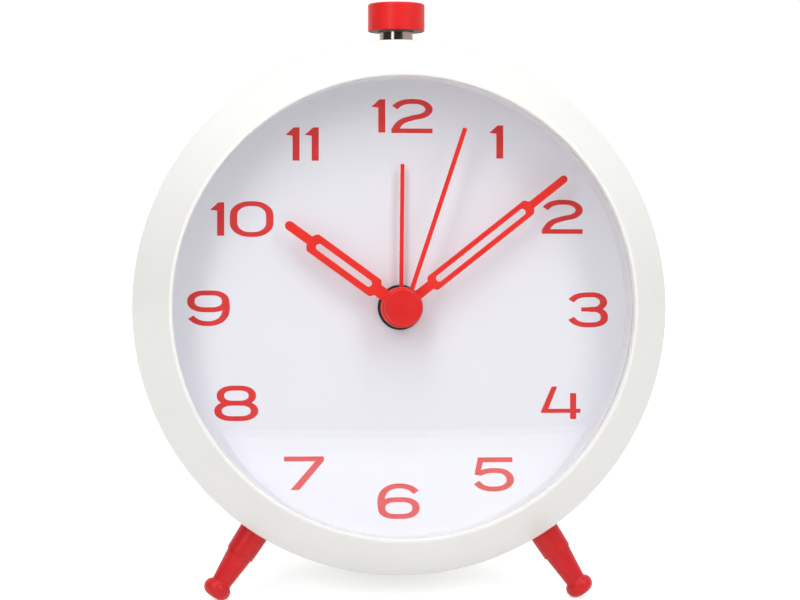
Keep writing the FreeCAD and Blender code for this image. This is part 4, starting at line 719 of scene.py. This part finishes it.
def framed_hand(which, shank, start, end, width, slot, tip, length):
    half = width / 2
    tip_half = tip / 2
    side = [(shank / 2, 1.5), (shank / 2, start - 0.05), (half - SHOULDER + 0.02, start), (half, start + SHOULDER),
            (half, end - SHOULDER), (half - SHOULDER, end), (tip_half, end + 0.1)]
    right = filleted(side + [(-x, y) for x, y in reversed(side)], 0.4)
    cut_at = len(right) // 2
    round_end = [(tip_half * math.cos(math.radians(a)), length - tip_half + tip_half * math.sin(math.radians(a)))
                 for a in range(0, 181, 15)]
    outline = right[:cut_at - 6] + [(tip_half, end + 0.3)] + round_end + [(-tip_half, end + 0.3)]
    outline += right[cut_at + 6:]
    hole = stadium(slot, start + FRAME_BORDER, end - FRAME_BORDER)
    level = HUB_FEET[which] + (HUB_HEIGHT - HAND_THICKNESS) / 2
    bm = sheet([outline, hole], HAND_THICKNESS, 0.1, level)
    drop_in(bm, hub(which))
    piece(which + "_hand_red", which + "_hand", bm, "red_hand", [which + "_hand"],
          Matrix.Rotation(math.radians(-AT[which]), 4, "Z"))


def straight_hand(which, width, start, length, level, centre, aside=0):
    half = width / 2
    outline = filleted([(aside - half, start), (aside + half, start), (aside + half, length),
                        (aside - half, length)], 0.18)
    bm = sheet([outline], HAND_THICKNESS, 0.1, level)
    drop_in(bm, centre)
    piece(which + "_hand_red", which + "_hand", bm, "red_hand", [which + "_hand"],
          Matrix.Rotation(math.radians(-AT[which]), 4, "Z"))


def make_hands():
    framed_hand("hour", 2.44, 5.95, 22.0, 4.0, 1.33, 1.81, 28)
    framed_hand("minute", 1.89, 7.15, 32.1, 3.35, 1.31, 1.54, 41.2)
    level = HUB_FEET["alarm"] + (HUB_HEIGHT - HAND_THICKNESS) / 2
    straight_hand("alarm", 0.78, 2.5, 28.1, level, hub("alarm"))
    foot = HUB_FEET["second"]
    collar = turned([(0.42, foot, 0), (3.4, foot, 0.1), (3.4, foot + 1, 0), (0.42, foot + 1, 0)], steps=96)
    straight_hand("second", 0.88, 1.83, 37, foot + HAND_THICKNESS, collar, SECOND_ASIDE)
    cap = turned([(0.42, foot + 0.1, 0), (3.65, foot + 0.1, 0.1), (3.65, foot + 2.25, 0.4), (0, foot + 2.25, 0),
                  (0, foot + 1.75, 0), (0.42, foot + 1.75, 0)], steps=96)
    piece("second_hand_cap", "second_hand", cap, "red_cap")


SPRING_FOOT = 56.23
SPRING_HEAD = 59.27
SPRING_TURNS = 2.5
SPRING_RADIUS = 2.75
WIRE_RADIUS = 0.25


def coil():
    """Wire wound up from the spring's foot to its head."""
    bm = bmesh.new()
    start = Matrix.Translation((SPRING_RADIUS, 0, SPRING_FOOT + WIRE_RADIUS)) @ Matrix.Rotation(math.pi / 2, 4, "X")
    bmesh.ops.create_circle(bm, segments=16, radius=WIRE_RADIUS, matrix=start)
    steps = int(36 * SPRING_TURNS)
    rise = (SPRING_HEAD - SPRING_FOOT - 2 * WIRE_RADIUS) / steps
    bmesh.ops.spin(bm, geom=bm.verts[:] + bm.edges[:], cent=(0, 0, 0), axis=(0, 0, 1), dvec=(0, 0, rise),
                   angle=math.tau * SPRING_TURNS, steps=steps)
    bmesh.ops.remove_doubles(bm, verts=bm.verts, dist=1e-5)
    bmesh.ops.holes_fill(bm, edges=bm.edges, sides=0)
    bmesh.ops.recalc_face_normals(bm, faces=bm.faces)
    return bm


def make_button():
    cap = turned([(0, 59.3, 0), (0, 60.5, 0), (5.65, 60.5, 0.4), (5.65, 55.0, 0.15), (3.73, 55.0, 0.1),
                  (3.73, 59.3, 0), (2.1, 59.3, 0), (2.1, 58.2, 0), (1.52, 58.2, 0), (1.52, 59.3, 0)], steps=128)
    piece("button_cap_red", "snooze_button", cap, "red_cap", ["button_cap"], BUTTON)
    # Dark ring under the cap: painted shade, a black ring standing in for the shadow beneath the cap's rim
    shade_ring = turned([(3.5, 54.95, 0), (5.4, 54.95, 0), (5.4, 55.4, 0), (3.5, 55.4, 0)], steps=96)
    piece("button_cap_shade_ring", "snooze_button", shade_ring, "black_plastic", place=BUTTON)
    ferrule = turned([(1.58, 46.9, 0), (2.5, 46.9, 0), (2.5, 52.5, 0), (3.33, 52.5, 0), (3.33, 56.2, 0.12),
                      (1.58, 56.2, 0.1)], steps=96)
    piece("button_ferrule_bright", "clock_case", ferrule, "chrome", ["button_ferrule"], BUTTON)
    spring = piece("button_coil_spring", "clock_case", coil(), "spring_steel", ["button_spring"], BUTTON)
    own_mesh(spring)


def make_legs():
    for name in ("left_leg", "right_leg"):
        low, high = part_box(name)
        side = 1 if low[0] + high[0] > 0 else -1
        bulb = curl(1.0, 65.78, 1.75, -36, 90, 14)
        leg = turned([(0, 52.2, 0), (3.0, 52.2, 0), (2.83, 57.8, 0.6), (2.6, 57.8, 0.1), (1.98, 64.0, 0),
                      (2.0, 64.4, 0)] + bulb + [(0, 67.53, 0)], steps=96)
        piece(name + "_lacquered", "clock_case", leg, "red_lacquer", [name], leg_place(side), sharp=70)


# Back of the clock, drawn as it is seen from behind: X to the right, Z out of the cover
BACK = Matrix.Rotation(math.pi, 4, "Y")
GROOVES = 24
KNOB_GAP = 0.5
KNOB_HEIGHT = 4.8
MARK_RISE = 0.12
DOOR_LENGTH = 54
DOOR_WIDTH = 18
DOOR_THICKNESS = 1.1
DOOR_Y = -21.85
SWITCH_Y = 34
TAB_TOP = 1.88


def knob_spot(joint_name):
    joint = next(joint for joint in frame["joints"] if joint["name"] == joint_name)
    spot = DIAL_MM.inverted() @ Vector(joint["pos_m"])
    return Matrix.Translation((spot.x, spot.y, 0)) @ BACK


def curved_arrow(radius, width, start, end, rise, foot):
    """Flat arrow bent round a knob, its head at the end angle."""
    steps = [math.radians(start + (end - start) * step / 16) for step in range(17)]
    head = math.radians(end + math.copysign(math.degrees(2.6 * width / radius), end - start))
    outline = [((radius + width / 2) * math.cos(a), (radius + width / 2) * math.sin(a)) for a in steps]
    outline += [((radius + 1.4 * width) * math.cos(steps[-1]), (radius + 1.4 * width) * math.sin(steps[-1])),
                (radius * math.cos(head), radius * math.sin(head)),
                ((radius - 1.4 * width) * math.cos(steps[-1]), (radius - 1.4 * width) * math.sin(steps[-1]))]
    outline += [((radius - width / 2) * math.cos(a), (radius - width / 2) * math.sin(a)) for a in reversed(steps)]
    return sheet([outline], rise, 0.03, foot)


def word(letters, size, x, y):
    data = bpy.data.curves.new("word", "FONT")
    data.body = letters
    data.size = size
    data.align_x = "CENTER"
    data.align_y = "CENTER"
    data.extrude = MARK_RISE / 2
    data.offset = 0.04
    bm = bmesh_of(data)
    bmesh.ops.translate(bm, verts=bm.verts, vec=(x, y, MARK_RISE / 2 - 0.02))
    return bm


def make_knob(name, joint_name, radius):
    """Fluted setting knob with a dished end and a raised arrow."""
    flutes = []
    for step in range(GROOVES * 8):
        angle = math.tau * step / (GROOVES * 8)
        reach = radius - 0.42 * max(0, math.cos(GROOVES * angle))
        flutes.append((reach * math.cos(angle), reach * math.sin(angle)))
    rim = stadium(2 * radius - 3, 1.5 - radius, radius - 1.5, 24)
    end = KNOB_GAP + KNOB_HEIGHT
    bm = sheet([flutes, rim], KNOB_HEIGHT, 0.22, KNOB_GAP)
    drop_in(bm, turned([(0, KNOB_GAP, 0), (radius - 1.4, KNOB_GAP, 0), (radius - 1.4, end - 0.45, 0),
                        (0, end - 0.55, 0)], steps=96))
    drop_in(bm, curved_arrow(radius * 0.5, 0.7, 200, -50, 0.45, end - 0.6))
    piece(name + "_fluted", name, bm, "black_plastic", [name], knob_spot(joint_name))


def make_alarm_slider_grip():
    grip = bmesh.new()
    for step in (-1, 0, 1):
        rib = filleted([(-0.25, -2), (0.25, -2), (0.25, 2), (-0.25, 2)], 0.2)
        drop_in(grip, sheet([rib], 0.5, 0.12, TAB_TOP - 0.2), Matrix.Translation((step * 1.2, 0, 0)))
    piece("alarm_slider_grip", "alarm_slider", grip, "red_cap",
          place=BACK @ Matrix.Translation((1.5, SWITCH_Y, 0)))


def make_battery_door():
    half_length = DOOR_LENGTH / 2
    half_width = DOOR_WIDTH / 2
    corners = [(-half_length, -half_width), (half_length, -half_width), (half_length, half_width),
               (-half_length, half_width)]
    bm = sheet([filleted(corners, 0.9)], DOOR_THICKNESS, 0.12, -DOOR_THICKNESS)
    pin = rod(0.4, -half_length - 1, half_length + 1)
    drop_in(bm, pin, Matrix.Translation((0, 0.55 - half_width, -0.55)) @ Matrix.Rotation(math.pi / 2, 4, "Y"))
    for step in (-1, 0, 1):
        rib = filleted([(-6, -0.4), (6, -0.4), (6, 0.4), (-6, 0.4)], 0.35)
        drop_in(bm, sheet([rib], 0.6, 0.15, -0.22), Matrix.Translation((0, 4.5 + 1.4 * step, 0)))
    drop_in(bm, sheet([[(-1.6, 1.0), (1.6, 1.0), (0, -0.9)]], MARK_RISE, 0.03, -0.02))
    piece("battery_door_panel", "battery_door", bm, "cover_plastic", ["battery_door"],
          Matrix.Translation((0, DOOR_Y, 0)) @ BACK)


def make_cover_marks():
    """Raised beads on the cover, and dark marks by the knobs and the alarm switch."""
    beads = turned([(42.4, -0.05, 0), (42.4, 0.16, 0.12), (43.2, 0.16, 0.12), (43.2, -0.05, 0)])
    marks = drop_in(word("OFF", 3.2, 8.6, SWITCH_Y), word("ON", 3.2, -8.0, SWITCH_Y))
    for joint_name, radius in (("time_set_turn", 7), ("alarm_set_turn", 6)):
        place = BACK.inverted() @ knob_spot(joint_name)
        inner = radius + 0.8
        beads = drop_in(beads, turned([(inner, -0.05, 0), (inner, 0.2, 0.1), (inner + 0.5, 0.2, 0.1),
                                       (inner + 0.5, -0.05, 0)], steps=96), place)
        drop_in(marks, curved_arrow(radius + 2.4, 0.6, 130, 62, MARK_RISE, -0.02), place)
    piece("cover_beads", "clock_case", beads, "cover_plastic", place=BACK)
    piece("cover_marks", "clock_case", marks, "black_plastic", place=BACK)


make_case()
make_lens()
make_dial()
make_numerals()
make_hands()
make_button()
make_legs()
make_knob("time_set_knob", "time_set_turn", 7)
make_knob("alarm_set_knob", "alarm_set_turn", 6)
make_alarm_slider_grip()
make_battery_door()
make_cover_marks()

for name, node in frame["nodes"].items():
    node.data.materials.clear()
    node.data.materials.append(FINISHES[SLOT_OF[name]])


# Floor, surroundings and lamps
def rays(finish, *words):
    """1 for rays of these kinds, such as Camera or Glossy."""
    found = [finish.node("ShaderNodeLightPath", output="Is %s Ray" % word) for word in words]
    seen = found[0]
    for other in found[1:]:
        seen = seen.maths("MAXIMUM", seen, other)
    return seen


FLOOR_GLOW = 0.66


def make_floor():
    bm = bmesh.new()
    bmesh.ops.create_grid(bm, x_segments=8, y_segments=8, size=6)
    mesh = bpy.data.meshes.new("studio_floor")
    bm.to_mesh(mesh)
    bm.free()
    floor = bpy.data.objects.new("studio_floor", mesh)
    SCENE.collection.objects.link(floor)
    finish = Finish("pale_floor", Roughness=0.9, Specular_IOR_Level=0.0, Emission_Strength=1.0)
    grain = finish.fit(finish.noise(40, 3), 0, 1)
    finish.feed(Base_Color=finish.blend(grain, (0.83, 0.83, 0.83), (0.85, 0.85, 0.85)),
                Emission_Color=finish.blend(rays(finish, "Camera", "Glossy", "Transmission"), (0, 0, 0),
                                            (FLOOR_GLOW, FLOOR_GLOW, FLOOR_GLOW)))
    mesh.materials.append(finish.material)


def make_surroundings(level, front_room):
    """Even white light; the backdrop looks white, and gloss shows a dimmer room in front of it."""
    world = bpy.data.worlds.new("white_studio")
    SCENE.world = world
    world.use_nodes = True
    world.node_tree.nodes.clear()
    sky = Finish("sky", world.node_tree)
    way = sky.node("ShaderNodeTexCoord", output="Generated")
    aside = sky.node("ShaderNodeSeparateXYZ", None, way, output="X")
    behind = sky.node("ShaderNodeSeparateXYZ", None, way, output="Y")
    nearness = sky.node("ShaderNodeMapRange", None, behind + 0.65 * aside, -0.42, -0.2, 0.0, 1.0)
    room = sky.node("ShaderNodeBackground", None, sky.blend(nearness, (front_room,) * 3, (1.0, 1.0, 1.0)), 1.0)
    even = sky.node("ShaderNodeBackground", None, (1.0, 1.0, 1.0), level)
    white = sky.node("ShaderNodeBackground", None, (1.0, 1.0, 1.0), 1.0)
    mirrored = sky.node("ShaderNodeMixShader", None, rays(sky, "Glossy"), even, room)
    seen = sky.node("ShaderNodeMixShader", None, rays(sky, "Camera", "Transmission"), mirrored, white)
    sky.node("ShaderNodeOutputWorld", None, seen)


def lamp(name, power, width, height, spot):
    """Soft box that looks at the dial from a spot in the dial's frame."""
    data = bpy.data.lights.new(name, "AREA")
    data.energy = power
    data.shape = "RECTANGLE"
    data.size = width
    data.size_y = height
    thing = bpy.data.objects.new(name, data)
    SCENE.collection.objects.link(thing)
    place = dial_point(*spot)
    aim = dial_point(0, 0, 30)
    thing.matrix_world = Matrix.Translation(place) @ (place - aim).to_track_quat("Z", "Y").to_matrix().to_4x4()


make_floor()
make_surroundings(0.42, 0.06)
lamp("left_softbox", 3.8, 0.3, 1.0, (-380, 540, 740))
lamp("right_softbox", 2.9, 0.3, 0.8, (430, 590, 680))
lamp("top_softbox", 3.3, 0.9, 0.5, (0, 950, 420))

SCENE.view_settings.view_transform = "Standard"
